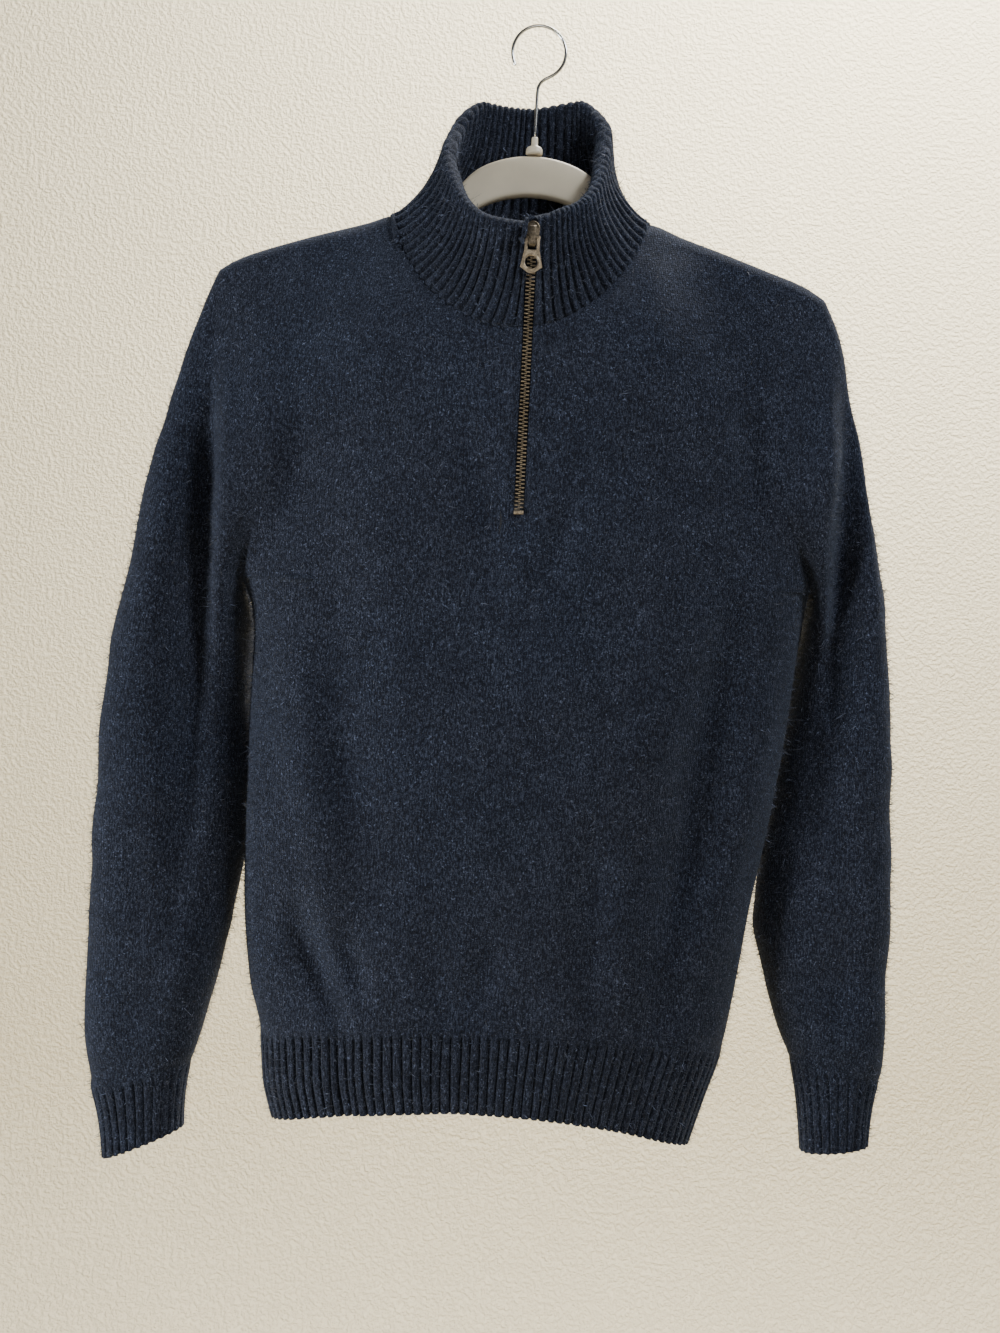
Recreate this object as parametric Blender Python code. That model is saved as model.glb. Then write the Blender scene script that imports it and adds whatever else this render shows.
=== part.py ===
"""Quarter zip sweater hanging on a coat hanger.

Metres, +Z up, +X to the right as seen from the front, and the front faces -Y. The origin is the
inner top of the hanger's hook, where a rail carries it. Left and right are the viewer's.

The cloth is built as sewn: a front with a zip slit, a back, two sleeves, two ribbed cuffs, a ribbed
hem in two halves and a folded rib collar. Each piece is a grid of points on its outer face. Pieces
that are sewn together share their seam points, then each is drawn back by half a seam gap and
given its own thickness towards the inside.
"""
import math

import bpy
from mathutils import Vector

# ---- Driving dimensions -------------------------------------------------------------------------
CLOTH = 0.0026            # thickness of the knitted panels
RIB_CLOTH = 0.0030        # thickness of the ribbed hem and cuffs
COLLAR_SEAM = 0.0026      # thickness of the folded collar at its seam
COLLAR_RIM = 0.0075       # and at its rounded rim
SEAM_GAP = 0.0005         # clear space between two pieces at a seam
COLLAR_GAP = 0.0016       # twice what the thicker collar is drawn back by
FOLD_RADIUS = 0.0090      # outer radius of the cloth over the hanger's arms
DRAPE_NECK = 0.120        # how far below the neck's edge the front reaches its full depth
DRAPE_SHOULDER = 0.200    # and below the shoulders

ZIP_X = 0.0015            # the zip's line
SLIT_HALF = 0.0035        # half the width of the slit for the zip
ZIP_BOTTOM = -0.342       # lower end of the zip
SLIT_EASE = 0.0008        # the slit runs this much lower
ZIP_TOP = -0.1485         # top of the slider

NECK_X = -0.0073          # the neck opening's middle
NECK_HALF = 0.0872        # and half its width
NECK_DROP = 0.085         # how far the front neckline dips
NECK_DROP_POWER = 0.675   # how round that dip is
NECK_SPREAD = 0.9         # how fast the neck's roundness widens down the panels
NECK_LIFT_BACK = 0.012    # how far the back neckline rises between the shoulders
NECK_BACK = 0.047         # how far the neckline stands behind the hanger

HEM_RISE_FRONT = 0.014    # how far the hem rises in the middle of the front
HEM_RISE_BACK = 0.002

ARMHOLE_FRONT = 0.044     # half the armhole's depth, front and back of the shoulder
ARMHOLE_BACK = 0.040
ARMHOLE_ROUND = 0.5       # share of the armhole's height over which it opens from the underarm

NECK_COLUMNS_FRONT = 7    # columns of the grid from the slit to the collar's shoulder point
NECK_COLUMNS_BACK = 5
ARMHOLE_ROWS = 10         # rows of the grid from the underarm to the shoulder
SHOULDER_COLUMNS = (0.12, 0.32, 0.60, 0.85, 0.96, 1.0)   # shares of the way out along a shoulder
BODY_ROWS = (0.0, 0.07, 0.16, 0.28, 0.42, 0.56, 0.70, 0.82, 0.92, 0.97)  # shares, rib to underarm

# ---- Outline of the body: height, then where the side edge is ------------------------------------
LEFT_EDGE = (
    # height,  edge
    (-0.7610, -0.1470),
    (-0.7350, -0.1540),
    (-0.6990, -0.1580),
    (-0.6660, -0.1670),
    (-0.6050, -0.1740),
    (-0.5420, -0.1760),
    (-0.4730, -0.1765),
    (-0.4300, -0.1760),
    (-0.4100, -0.1785),
    (-0.3914, -0.1857),
)
RIGHT_EDGE = (
    (-0.7640, 0.1400),
    (-0.7330, 0.1490),
    (-0.6970, 0.1600),
    (-0.6490, 0.1680),
    (-0.5970, 0.1750),
    (-0.5520, 0.1830),
    (-0.4820, 0.1930),
    (-0.4130, 0.2000),
    (-0.3820, 0.2040),
)
LEFT_ARMHOLE = (
    (-0.3914, -0.1857),
    (-0.3650, -0.1780),
    (-0.3300, -0.1700),
    (-0.2900, -0.1665),
    (-0.2560, -0.1740),
    (-0.2200, -0.1880),
    (-0.1940, -0.2015),
    (-0.1785, -0.2120),
)
RIGHT_ARMHOLE = (
    (-0.3820, 0.2040),
    (-0.3590, 0.1940),
    (-0.3150, 0.1770),
    (-0.2750, 0.1752),
    (-0.2400, 0.1800),
    (-0.2060, 0.1905),
    (-0.1775, 0.2030),
)
SHOULDERS = (
    # x,       height of the cloth over the hanger's arm
    (-0.2120, -0.1785),
    (-0.2030, -0.1725),
    (-0.1920, -0.1672),
    (-0.1550, -0.1543),
    (-0.1110, -0.1410),
    (-0.0945, -0.1355),
    (0.0799, -0.1325),
    (0.1056, -0.1410),
    (0.1350, -0.1506),
    (0.1630, -0.1603),
    (0.1900, -0.1700),
    (0.2030, -0.1775),
)
DEPTHS = (
    # height,  front, back
    (-0.7640, 0.054, 0.050),
    (-0.6980, 0.058, 0.053),
    (-0.6000, 0.063, 0.055),
    (-0.4800, 0.067, 0.056),
    (-0.3600, 0.067, 0.054),
    (-0.2600, 0.064, 0.052),
    (-0.1300, 0.060, 0.050),
)
MIDLINE = (
    # height,  x of the line down the middle
    (-0.7640, -0.0030),
    (-0.5500, -0.0005),
    (-0.3600, 0.0015),
    (-0.1200, 0.0015),
)
HEM_DROP_LEFT = 0.0600    # height of the ribbed hem at its left, middle and right
HEM_DROP_MIDDLE = 0.0550
HEM_DROP_RIGHT = 0.0660

# ---- Largest folds: troughs pressed into the cloth, seen from the front ---------------------------
BODY_FOLDS = (
    # face,   x and height of three points along it,                       depth,  half-width
    ("front", (-0.148, -0.600), (-0.132, -0.655), (-0.118, -0.690), 0.006, 0.016),
    ("front", (0.150, -0.420), (0.120, -0.530), (0.098, -0.690), 0.008, 0.026),
    ("back", (-0.120, -0.300), (-0.095, -0.450), (-0.100, -0.600), 0.009, 0.026),
    ("back", (0.110, -0.340), (0.125, -0.500), (0.100, -0.640), 0.008, 0.028),
)
SLEEVE_FOLDS = {
    "left": (
        ("front", (-0.2130, -0.235), (-0.2080, -0.320), (-0.2110, -0.470), 0.024, 0.012),
        ("back", (-0.2350, -0.300), (-0.2250, -0.430), (-0.2300, -0.560), 0.010, 0.014),
    ),
    "right": (
        ("front", (0.2270, -0.225), (0.2290, -0.320), (0.2220, -0.450), 0.020, 0.011),
        ("back", (0.2200, -0.300), (0.2150, -0.430), (0.2200, -0.560), 0.010, 0.014),
    ),
}

# ---- Sleeves: each row is a ring, from the cuff's seam up to the underarm ------------------------
SLEEVES = {
    "left": (
        # inner x, inner z, outer x, outer z, front, back, middle y at the inner and outer edge
        (-0.2050, -0.7240, -0.2725, -0.7450, 0.0220, 0.0220, 0.000, 0.000),
        (-0.1975, -0.6980, -0.2770, -0.7150, 0.0260, 0.0250, 0.001, 0.000),
        (-0.1860, -0.6500, -0.2795, -0.6680, 0.0310, 0.0290, 0.002, 0.000),
        (-0.1790, -0.6000, -0.2800, -0.6120, 0.0350, 0.0320, 0.010, 0.000),
        (-0.1755, -0.5450, -0.2790, -0.5500, 0.0380, 0.0340, 0.016, 0.000),
        (-0.1762, -0.4850, -0.2770, -0.4900, 0.0410, 0.0360, 0.021, 0.000),
        (-0.1778, -0.4450, -0.2730, -0.4400, 0.0430, 0.0380, 0.024, 0.000),
        (-0.1803, -0.4170, -0.2660, -0.3850, 0.0440, 0.0390, 0.023, 0.000),
        (-0.1850, -0.4030, -0.2580, -0.3260, 0.0440, 0.0390, 0.015, 0.000),
        (-0.1866, -0.3965, -0.2450, -0.2620, 0.0400, 0.0370, 0.007, 0.000),
        (-0.1864, -0.3933, -0.2290, -0.2080, 0.0320, 0.0300, 0.002, 0.000),
    ),
    "right": (
        (0.2080, -0.7010, 0.2690, -0.7140, 0.0220, 0.0220, 0.003, 0.000),
        (0.2010, -0.6840, 0.2705, -0.6920, 0.0260, 0.0250, 0.005, 0.000),
        (0.1895, -0.6460, 0.2715, -0.6560, 0.0310, 0.0290, 0.009, 0.000),
        (0.1795, -0.6050, 0.2705, -0.6050, 0.0340, 0.0310, 0.016, 0.000),
        (0.1845, -0.5500, 0.2690, -0.5500, 0.0370, 0.0330, 0.022, 0.001),
        (0.1945, -0.4850, 0.2655, -0.4850, 0.0400, 0.0350, 0.024, 0.001),
        (0.2000, -0.4400, 0.2620, -0.4350, 0.0420, 0.0370, 0.024, 0.001),
        (0.2045, -0.4100, 0.2560, -0.3800, 0.0430, 0.0380, 0.021, 0.000),
        (0.2074, -0.3960, 0.2490, -0.3200, 0.0430, 0.0380, 0.012, 0.000),
        (0.2072, -0.3885, 0.2400, -0.2590, 0.0390, 0.0360, 0.004, 0.000),
        (0.2056, -0.3850, 0.2230, -0.2070, 0.0310, 0.0290, 0.000, 0.000),
    ),
}
RING_ROUNDNESS = 2.3      # 2 is an ellipse, more is squarer
SLEEVE_RINGS = 15         # rings of the grid along a sleeve
SLEEVE_BLEND = 6.0        # row of the table above which a sleeve turns into its armhole
CUFFS = {
    # inner x, inner z, outer x, outer z of the cuff's open end, and its half-depth
    "left": (-0.2080, -0.7690, -0.2620, -0.7930, 0.0200),
    "right": (0.2180, -0.7640, 0.2640, -0.7580, 0.0200),
}

# ---- Collar: angle round the neck from the front, and the top of the rim there --------------------
RIM = (
    # degrees,  x,       y,       z
    (-8.0, 0.0050, -0.0570, -0.1470),
    (8.0, -0.0080, -0.0570, -0.1465),
    (25.0, -0.0270, -0.0540, -0.1440),
    (50.0, -0.0460, -0.0420, -0.1310),
    (70.0, -0.0570, -0.0250, -0.1100),
    (90.0, -0.0630, -0.0030, -0.0860),
    (115.0, -0.0590, 0.0220, -0.0620),
    (145.0, -0.0390, 0.0460, -0.0410),
    (180.0, -0.0060, 0.0550, -0.0420),
    (215.0, 0.0350, 0.0450, -0.0370),
    (248.0, 0.0530, 0.0180, -0.0600),
    (270.0, 0.0515, -0.0020, -0.0850),
    (290.0, 0.0480, -0.0240, -0.1080),
    (310.0, 0.0370, -0.0430, -0.1270),
    (335.0, 0.0190, -0.0530, -0.1370),
    (356.0, 0.0040, -0.0570, -0.1450),
)
COLLAR_ROWS = (0.0, 0.22, 0.48, 0.74, 0.93)   # shares of the way up its outer face
COLLAR_FLARE = 1.5        # how much sooner it turns in than up
COLLAR_RISE = 1.3

# ---- Zip ------------------------------------------------------------------------------------------
TEETH_HALF = 0.0029       # half the width of the closed chain of teeth
TEETH_SINK = 0.0005       # the chain's face lies this far below the cloth's
TEETH_THICK = 0.0021
TAPE_SINK = 0.0030        # the tape lies behind the teeth and behind the cloth
TAPE_THICK = 0.0008
TAPE_HALF = 0.0120        # half the tape's width behind the front
TAPE_HALF_IN_SLIT = 0.0031
TAPE_END = 0.0160         # the tape ends this far below the zip
STRIP_STEP = 0.0080       # spacing of the sections of the tape and the teeth
STOP_TALL = 0.0024
SLIDER_HALF = 0.0047      # half the slider's width at its crown
SLIDER_FOOT_HALF = 0.0038
SLIDER_TALL = 0.0150
SLIDER_PLATE = 0.0014
SLIDER_CLEAR = 0.0009     # the plate clears the cloth's face by this much at the slit
BAIL_HALF = 0.0021        # half the width of the bail, the bridge that the tab turns under
BAIL_BAR = 0.0011         # thickness of its bar
BAIL_RISE = 0.0029        # height of its opening above the slider's plate
BAIL_TOP = -0.1515
BAIL_BOTTOM = -0.1655
PIVOT_Z = -0.1593         # the pull tab's hinge line
TAB_THICK = 0.0014
TAB_BAR_RADIUS = 0.0008
TAB_TOP_HALF = 0.0050
TAB_WIDE_HALF = 0.0073
TAB_WIDE_Z = -0.1790
TAB_TIP_Z = -0.1830
TAB_TIP_HALF = 0.0016
TAB_FORK_HALF = 0.0030
TAB_FORK_Z = -0.1677
TAB_HOLE_Z = -0.1757
TAB_HOLE_RADIUS = 0.0044

# ---- Hanger ---------------------------------------------------------------------------------------
HANGER = (
    # distance out, top,     height, half-thickness
    (0.0000, -0.0884, 0.0290, 0.0050),
    (0.0200, -0.0911, 0.0290, 0.0050),
    (0.0370, -0.0982, 0.0292, 0.0050),
    (0.0460, -0.1065, 0.0288, 0.0050),
    (0.0560, -0.1200, 0.0262, 0.0050),
    (0.0680, -0.1325, 0.0240, 0.0050),
    (0.0840, -0.1420, 0.0230, 0.0050),
    (0.1000, -0.1470, 0.0215, 0.0050),
    (0.1450, -0.1590, 0.0190, 0.0048),
    (0.1800, -0.1715, 0.0165, 0.0046),
    (0.1950, -0.1790, 0.0140, 0.0042),
    (0.1985, -0.1835, 0.0070, 0.0030),
)
HANGER_ROUNDS = 12        # sides of the hanger's rounded section
BOSS_HALF = 0.0055
BOSS_TALL = 0.0050
STEM_RADIUS = 0.0021
STEM_TALL = 0.0120        # top of the stem above the hanger
WIRE_RADIUS = 0.00115
HOOK_RADIUS = 0.0186      # of the wire's centre line
HOOK_BEND = 0.0100        # radius of the bend below the hook
HOOK_END_ANGLE = 212.0
HOOK_SIDES = 10

COLOURS = {
    "wool": (0.020, 0.028, 0.042),
    "brass": (0.250, 0.205, 0.150),
    "tape": (0.012, 0.014, 0.020),
    "plastic": (0.480, 0.430, 0.360),
    "wire": (0.600, 0.600, 0.590),
}


# ---- Small helpers --------------------------------------------------------------------------------
def through(table, at, column=1):
    """A smooth curve through a table's column, without overshoot, read at its first column."""
    keys = [row[0] for row in table]
    values = [row[column] for row in table]
    steps = [b - a for a, b in zip(keys, keys[1:])]
    slopes = [(b - a) / h for a, b, h in zip(values, values[1:], steps)]
    tangents = [slopes[0]]
    for before, after in zip(slopes, slopes[1:]):
        same_way = before * after > 0.0
        tangents.append(2.0 * before * after / (before + after) if same_way else 0.0)
    tangents.append(slopes[-1])
    at = min(max(at, keys[0]), keys[-1])
    i = max(k for k in range(len(steps)) if keys[k] <= at)
    t = (at - keys[i]) / steps[i]
    a, b = values[i], values[i + 1]
    lift = tangents[i] * steps[i] * t * (1 - t) ** 2 - tangents[i + 1] * steps[i] * t * t * (1 - t)
    return a + (b - a) * t * t * (3 - 2 * t) + lift


def row_at(rows, place):
    """A whole row of a table of evenly placed rows, read smoothly between its rows."""
    numbered = [(float(k),) + tuple(row) for k, row in enumerate(rows)]
    return [through(numbered, place, column) for column in range(1, len(rows[0]) + 1)]


def mix(a, b, share):
    return a + (b - a) * share


def eased(share):
    share = min(max(share, 0.0), 1.0)
    return share * share * (3.0 - 2.0 * share)


def quarter_round(share):
    """Rises from 0 like the side of a circle and is 1 from share 1 on."""
    share = min(max(share, 0.0), 1.0)
    return math.sqrt(1.0 - (1.0 - share) ** 2)


def trough(x, z, fold):
    """How deep a fold is at a place: a soft groove along a curve through three points."""
    _, start, middle, end, depth, half_width = fold
    best = 0.0
    pieces = 12
    for k in range(pieces + 1):
        t = k / pieces
        along_x = start[0] * (1 - t) ** 2 + 2 * middle[0] * t * (1 - t) + end[0] * t * t
        along_z = start[1] * (1 - t) ** 2 + 2 * middle[1] * t * (1 - t) + end[1] * t * t
        reach = math.hypot(x - along_x, (z - along_z) * 0.5) / half_width
        swell = math.sin(math.pi * (0.08 + 0.84 * t))
        best = max(best, swell * math.exp(-reach * reach))
    return depth * best


def folds_at(x, z, folds, face):
    return sum(trough(x, z, fold) for fold in folds if fold[0] == face)


# ---- The body's outer face ------------------------------------------------------------------------
def neck_share(x, drop=0.0):
    """0 at the edges of the neck opening and 1 in its middle; it widens down the panel."""
    return max(0.0, 1.0 - ((x - NECK_X) / (NECK_HALF + NECK_SPREAD * drop)) ** 2)


def top_of_panel(x, face):
    """Height of a panel's upper edge: the shoulder seam, and the neckline between."""
    inside = neck_share(x)
    if face == "front":
        return through(SHOULDERS, x) - NECK_DROP * inside ** NECK_DROP_POWER
    return through(SHOULDERS, x) + NECK_LIFT_BACK * inside


def body_rows():
    """Each row of a body panel: how far up the lower part it is, and up the armhole."""
    lower = [(share, 0.0) for share in BODY_ROWS]
    for k in range(ARMHOLE_ROWS + 1):
        lower.append((1.0, 0.5 - 0.5 * math.cos(math.pi * k / ARMHOLE_ROWS)))
    return lower


def body_columns(side, face):
    """Shares of the way from the middle to the side edge, given along the panel's upper edge."""
    edge = SHOULDERS[0][0] if side < 0 else SHOULDERS[-1][0]
    inner = SLIT_HALF if face == "front" else 0.0
    reach = abs(edge - ZIP_X) - inner
    start = math.acos((ZIP_X + side * inner - NECK_X) / (side * NECK_HALF))
    count = NECK_COLUMNS_FRONT if face == "front" else NECK_COLUMNS_BACK
    shares = []
    for k in range(count + 1):
        x = NECK_X + side * NECK_HALF * math.cos(start * (1.0 - k / count))
        shares.append(max(0.0, (abs(x - ZIP_X) - inner) / reach))
    neck_edge = shares[-1]
    return shares + [mix(neck_edge, 1.0, share) for share in SHOULDER_COLUMNS]


def side_edge(side, lower, upper):
    """Where the side seam (lower part) or the armhole seam (upper part) is in a row: x and z."""
    edge, armhole = (LEFT_EDGE, LEFT_ARMHOLE) if side < 0 else (RIGHT_EDGE, RIGHT_ARMHOLE)
    if upper > 0.0:
        z = mix(armhole[0][0], armhole[-1][0], upper)
        return through(armhole, z), z
    z = mix(edge[2][0], edge[-1][0], lower)
    return through(edge, z), z


def armhole_depth(share, upper, face):
    """Half-depth that the armhole gives a row: round at the seam itself, and softer inside it."""
    full = ARMHOLE_FRONT if face == "front" else ARMHOLE_BACK
    at_seam = full * quarter_round(upper / ARMHOLE_ROUND)
    inside = full * eased(upper / (1.4 * ARMHOLE_ROUND))
    return mix(inside, at_seam, share ** 16) * share ** 6


def depth_of_cloth(share, upper, drop, x, z, face):
    """How far the cloth stands in front of or behind the hanger's plane."""
    column = 1 if face == "front" else 2
    full = through(DEPTHS, z, column)
    sharpness = mix(2.0, 1.35, eased(upper / 0.4))
    across = max(0.0, 1.0 - share ** 2.6) ** (1.0 / sharpness)
    regular = full * across + armhole_depth(share, upper, face)
    below_shoulder = through(SHOULDERS, x) - z
    over_hanger = FOLD_RADIUS * quarter_round(below_shoulder / FOLD_RADIUS)
    if face == "front":
        out = min(1.0, max(0.0, abs(x - NECK_X) - NECK_HALF) / 0.11)
        reach = mix(DRAPE_NECK, DRAPE_SHOULDER, eased(out))
        gained = 1.0 - max(0.0, 1.0 - below_shoulder / reach) ** 2
        depth = regular * gained + over_hanger * (1.0 - gained) ** 2
    else:
        top = max(NECK_BACK * math.sqrt(neck_share(x, drop)), over_hanger)
        depth = mix(regular, top, max(0.0, 1.0 - drop / DRAPE_SHOULDER) ** 2)
    clear_of_edge = (1.0 - share ** 6) * min(1.0, drop / 0.03)
    return depth - folds_at(x, z, BODY_FOLDS, face) * clear_of_edge


def body_point(side, share, lower, upper, face):
    """A point on the outer face of the front or the back."""
    edge_x, edge_z = side_edge(side, lower, upper)
    other_x, other_z = side_edge(-side, lower, upper)
    row_z = 0.5 * (edge_z + other_z)
    middle = through(MIDLINE, row_z)
    inner = SLIT_HALF if face == "front" else 0.0
    x = middle + side * (inner + share * (abs(edge_x - middle) - inner))
    shoulder_x = ZIP_X + side * (inner + share * (abs(side_top(side) - ZIP_X) - inner))
    top_z = top_of_panel(shoulder_x, face)
    level_z = mix(0.5 * (underarm_z(side) + underarm_z(-side)), underarm_z(side), share)
    rise = HEM_RISE_FRONT if face == "front" else HEM_RISE_BACK
    hem_middle = 0.5 * (LEFT_EDGE[2][0] + RIGHT_EDGE[2][0]) + rise
    hem_z = mix(hem_middle, LEFT_EDGE[2][0] if side < 0 else RIGHT_EDGE[2][0], share ** 2)
    z = mix(level_z, top_z, upper) if upper > 0.0 else mix(hem_z, level_z, lower)
    drop = top_z - z
    neck_x = shoulder_x if drop < 1e-9 else mix(shoulder_x, x, min(1.0, drop / 0.05))
    y = depth_of_cloth(share, upper, drop, neck_x, z, face)
    return Vector((x, -y if face == "front" else y, z))


def side_top(side):
    return SHOULDERS[0][0] if side < 0 else SHOULDERS[-1][0]


def underarm_z(side):
    return LEFT_EDGE[-1][0] if side < 0 else RIGHT_EDGE[-1][0]


def panel_grid(face):
    """Rows from the rib's seam up to the shoulder, columns from the left edge to the right."""
    left = [(-1, share) for share in reversed(body_columns(-1, face))]
    right = [(1, share) for share in body_columns(1, face)]
    columns = left + (right if face == "front" else right[1:])
    rows = body_rows()
    grid = [[body_point(side, share, lower, upper, face) for side, share in columns]
            for lower, upper in rows]
    if face == "front":
        foot = [row for row in grid if row[len(left)].z < ZIP_BOTTOM][-1]
        for column in (len(left) - 1, len(left)):
            foot[column].z = ZIP_BOTTOM - SLIT_EASE
    return grid


def hem_grid(face, top_row):
    """The ribbed hem below a panel: its rows run from the hem's edge up to the panel."""
    columns = len(top_row)
    middle = [k for k in range(columns) if top_row[k].x < ZIP_X][-1]
    rows = []
    for share in (1.0, 0.55, 0.0):
        row = []
        for point in top_row:
            side = -1 if point.x < top_row[middle].x + 1e-6 else 1
            edge = LEFT_EDGE if side < 0 else RIGHT_EDGE
            out = abs(point.x - through(MIDLINE, edge[2][0]))
            out /= abs(edge[2][1] - through(MIDLINE, edge[2][0]))
            tall = mix(HEM_DROP_MIDDLE, HEM_DROP_LEFT if side < 0 else HEM_DROP_RIGHT, out ** 2)
            if face == "back":
                tall = mix(HEM_DROP_LEFT, tall, out ** 2)
            z = point.z - tall * share
            edge_z = edge[2][0] - share * (edge[2][0] - edge[0][0])
            narrow = abs(through(edge, edge_z)) / abs(edge[2][1])
            column = 1 if face == "front" else 2
            shallow = through(DEPTHS, edge_z, column) / through(DEPTHS, edge[2][0], column)
            row.append(Vector((point.x * narrow, point.y * shallow, z)))
        rows.append(row)
    return rows


# ---- Sleeves --------------------------------------------------------------------------------------
def armhole_loop(name, front, back):
    """The armhole's seam: from the underarm up the front to the shoulder and down the back."""
    column = 0 if name == "left" else -1
    first = len(BODY_ROWS)
    up = [row[column] for row in front[first:]]
    down = [row[column] for row in back[first:]]
    return up + list(reversed(down))[1:-1]


def ring_point(row, angle):
    """A point on a flattened ring: angle 0 is its inner edge, a quarter turn on is its front."""
    inner_x, inner_z, outer_x, outer_z, front, back, inner_y, outer_y = row
    along = 0.5 - 0.5 * math.cos(angle)
    deep = front if math.sin(angle) > 0.0 else back
    across = max(0.0, 1.0 - abs(math.cos(angle)) ** RING_ROUNDNESS) ** (1.0 / RING_ROUNDNESS)
    y = mix(inner_y, outer_y, along) - math.copysign(deep * across, math.sin(angle))
    return Vector((mix(inner_x, outer_x, along), y, mix(inner_z, outer_z, along)))


def sleeve_grid(name, loop):
    """Rows are rings from the cuff's seam to the armhole, columns go round from the underarm."""
    rows = SLEEVES[name]
    last = len(rows) - 1
    grid = []
    for k in range(SLEEVE_RINGS):
        place = last * k / (SLEEVE_RINGS - 1)
        row = row_at(rows, place)
        share = eased((place - SLEEVE_BLEND) / (last + 1 - SLEEVE_BLEND))
        ring = []
        for j, seam in enumerate(loop):
            angle = 2.0 * math.pi * j / len(loop)
            point = ring_point(row, angle).lerp(seam, share)
            face = "front" if math.sin(angle) > 0.0 else "back"
            fold = folds_at(point.x, point.z, SLEEVE_FOLDS[name], face) * abs(math.sin(angle))
            fold *= 1.0 - share
            point.y += fold if face == "front" else -fold
            ring.append(point)
        grid.append(ring)
    grid.append([point.copy() for point in loop])
    return grid


def cuff_grid(name, top_ring):
    """The ribbed cuff below a sleeve: its rows run from the open end up to the sleeve."""
    inner_x, inner_z, outer_x, outer_z, half_depth = CUFFS[name]
    end = (inner_x, inner_z, outer_x, outer_z, half_depth, half_depth, 0.0, 0.0)
    count = len(top_ring)
    low = [ring_point(end, 2.0 * math.pi * j / count) for j in range(count)]
    middle = [a.lerp(b, 0.42) for a, b in zip(low, top_ring)]
    for j, point in enumerate(middle):
        towards = Vector((mix(low[0].x, low[count // 2].x, 0.5), 0.0, point.z))
        middle[j] = point.lerp(towards, 0.05)
    return [low, middle, [point.copy() for point in top_ring]]


# ---- Collar ---------------------------------------------------------------------------------------
def neck_angle(point):
    """Angle round the neck from the front, clockwise seen from above, from -90 to 270 degrees."""
    angle = math.degrees(math.asin(min(max((NECK_X - point.x) / NECK_HALF, -1.0), 1.0)))
    return 180.0 - angle if point.y > 0.0 else angle


def neckline(front, back):
    """The collar's seam, from the zip's left side round the back to its right side."""
    split = [k for k in range(len(front[-1])) if front[-1][k].x < ZIP_X][-1]
    count = NECK_COLUMNS_FRONT
    left = front[-1][split - count:split + 1]
    right = front[-1][split + 1:split + 2 + count]
    first = len(SHOULDER_COLUMNS)
    behind = back[-1][first:-first]
    return list(reversed(left)) + behind[1:-1] + list(reversed(right))


def collar_sections(seam):
    """Outer face of the collar: one section for each point of its seam, rising to the rim."""
    sections = []
    for k, base in enumerate(seam):
        angle = neck_angle(base)
        if k > NECK_COLUMNS_FRONT and base.y < 1e-6:
            angle += 360.0
        rim = Vector([through(RIM, angle, column) for column in (1, 2, 3)])
        if k in (0, len(seam) - 1):
            rim.x = base.x
        section = []
        for share in COLLAR_ROWS + (1.0,):
            across = 1.0 - (1.0 - share) ** COLLAR_FLARE
            up = share ** COLLAR_RISE
            section.append(Vector((mix(base.x, rim.x, across), mix(base.y, rim.y, across),
                                   mix(base.z, rim.z, up))))
        sections.append(section)
    return sections


# ---- From a face to a wall ------------------------------------------------------------------------
def grid_normals(grid, wrap):
    """Outward normals of a grid whose columns run left to right and rows upwards, seen outside."""
    rows, columns = len(grid), len(grid[0])
    normals = []
    for i in range(rows):
        line = []
        for j in range(columns):
            below, above = grid[max(i - 1, 0)][j], grid[min(i + 1, rows - 1)][j]
            if wrap:
                before, after = grid[i][j - 1], grid[i][(j + 1) % columns]
            else:
                before, after = grid[i][max(j - 1, 0)], grid[i][min(j + 1, columns - 1)]
            line.append((after - before).cross(above - below).normalized())
        normals.append(line)
    return normals


def share_normals(pieces):
    """Gives points that two pieces share one normal, so that their edges meet face to face."""
    sums = {}
    for piece in pieces:
        for line, normals in zip(piece["grid"], piece["normals"]):
            for point, normal in zip(line, normals):
                key = tuple(round(value, 6) for value in point)
                sums[key] = sums.get(key, Vector((0.0, 0.0, 0.0))) + normal
    for piece in pieces:
        for line, normals in zip(piece["grid"], piece["normals"]):
            for j, point in enumerate(line):
                normals[j] = sums[tuple(round(value, 6) for value in point)].normalized()


def square_slit(pieces):
    """Turns the normals along the slit so that its two cut edges stand square to the front."""
    for piece in pieces:
        for line, normals in zip(piece["grid"], piece["normals"]):
            for point, normal in zip(line, normals):
                if abs(abs(point.x - ZIP_X) - SLIT_HALF) < 1e-4:
                    normal.x = 0.0
                    normal.normalize()


def drawn_back(grid, wrap, gap=SEAM_GAP):
    """The same grid with its open edges moved in by half of a gap."""
    rows, columns = len(grid), len(grid[0])
    moved = [[point.copy() for point in line] for line in grid]
    half = gap / 2

    def pull(point, towards):
        return (towards - point).normalized() * half

    for j in range(columns):
        moved[0][j] += pull(grid[0][j], grid[1][j])
        moved[-1][j] += pull(grid[-1][j], grid[-2][j])
    if not wrap:
        for i in range(rows):
            moved[i][0] += pull(grid[i][0], grid[i][1])
            moved[i][-1] += pull(grid[i][-1], grid[i][-2])
    return moved


def edge_strip(points, a, b, inner_a, inner_b):
    """Two triangles across a wall's edge, cut along the same diagonal on both sides of a seam."""
    def rank(point):
        return point.z + 0.37 * point.x + 0.21 * point.y

    if rank(points[a]) > rank(points[b]):
        return [(b, a, inner_b), (a, inner_a, inner_b)]
    return [(b, a, inner_a), (b, inner_a, inner_b)]


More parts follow.
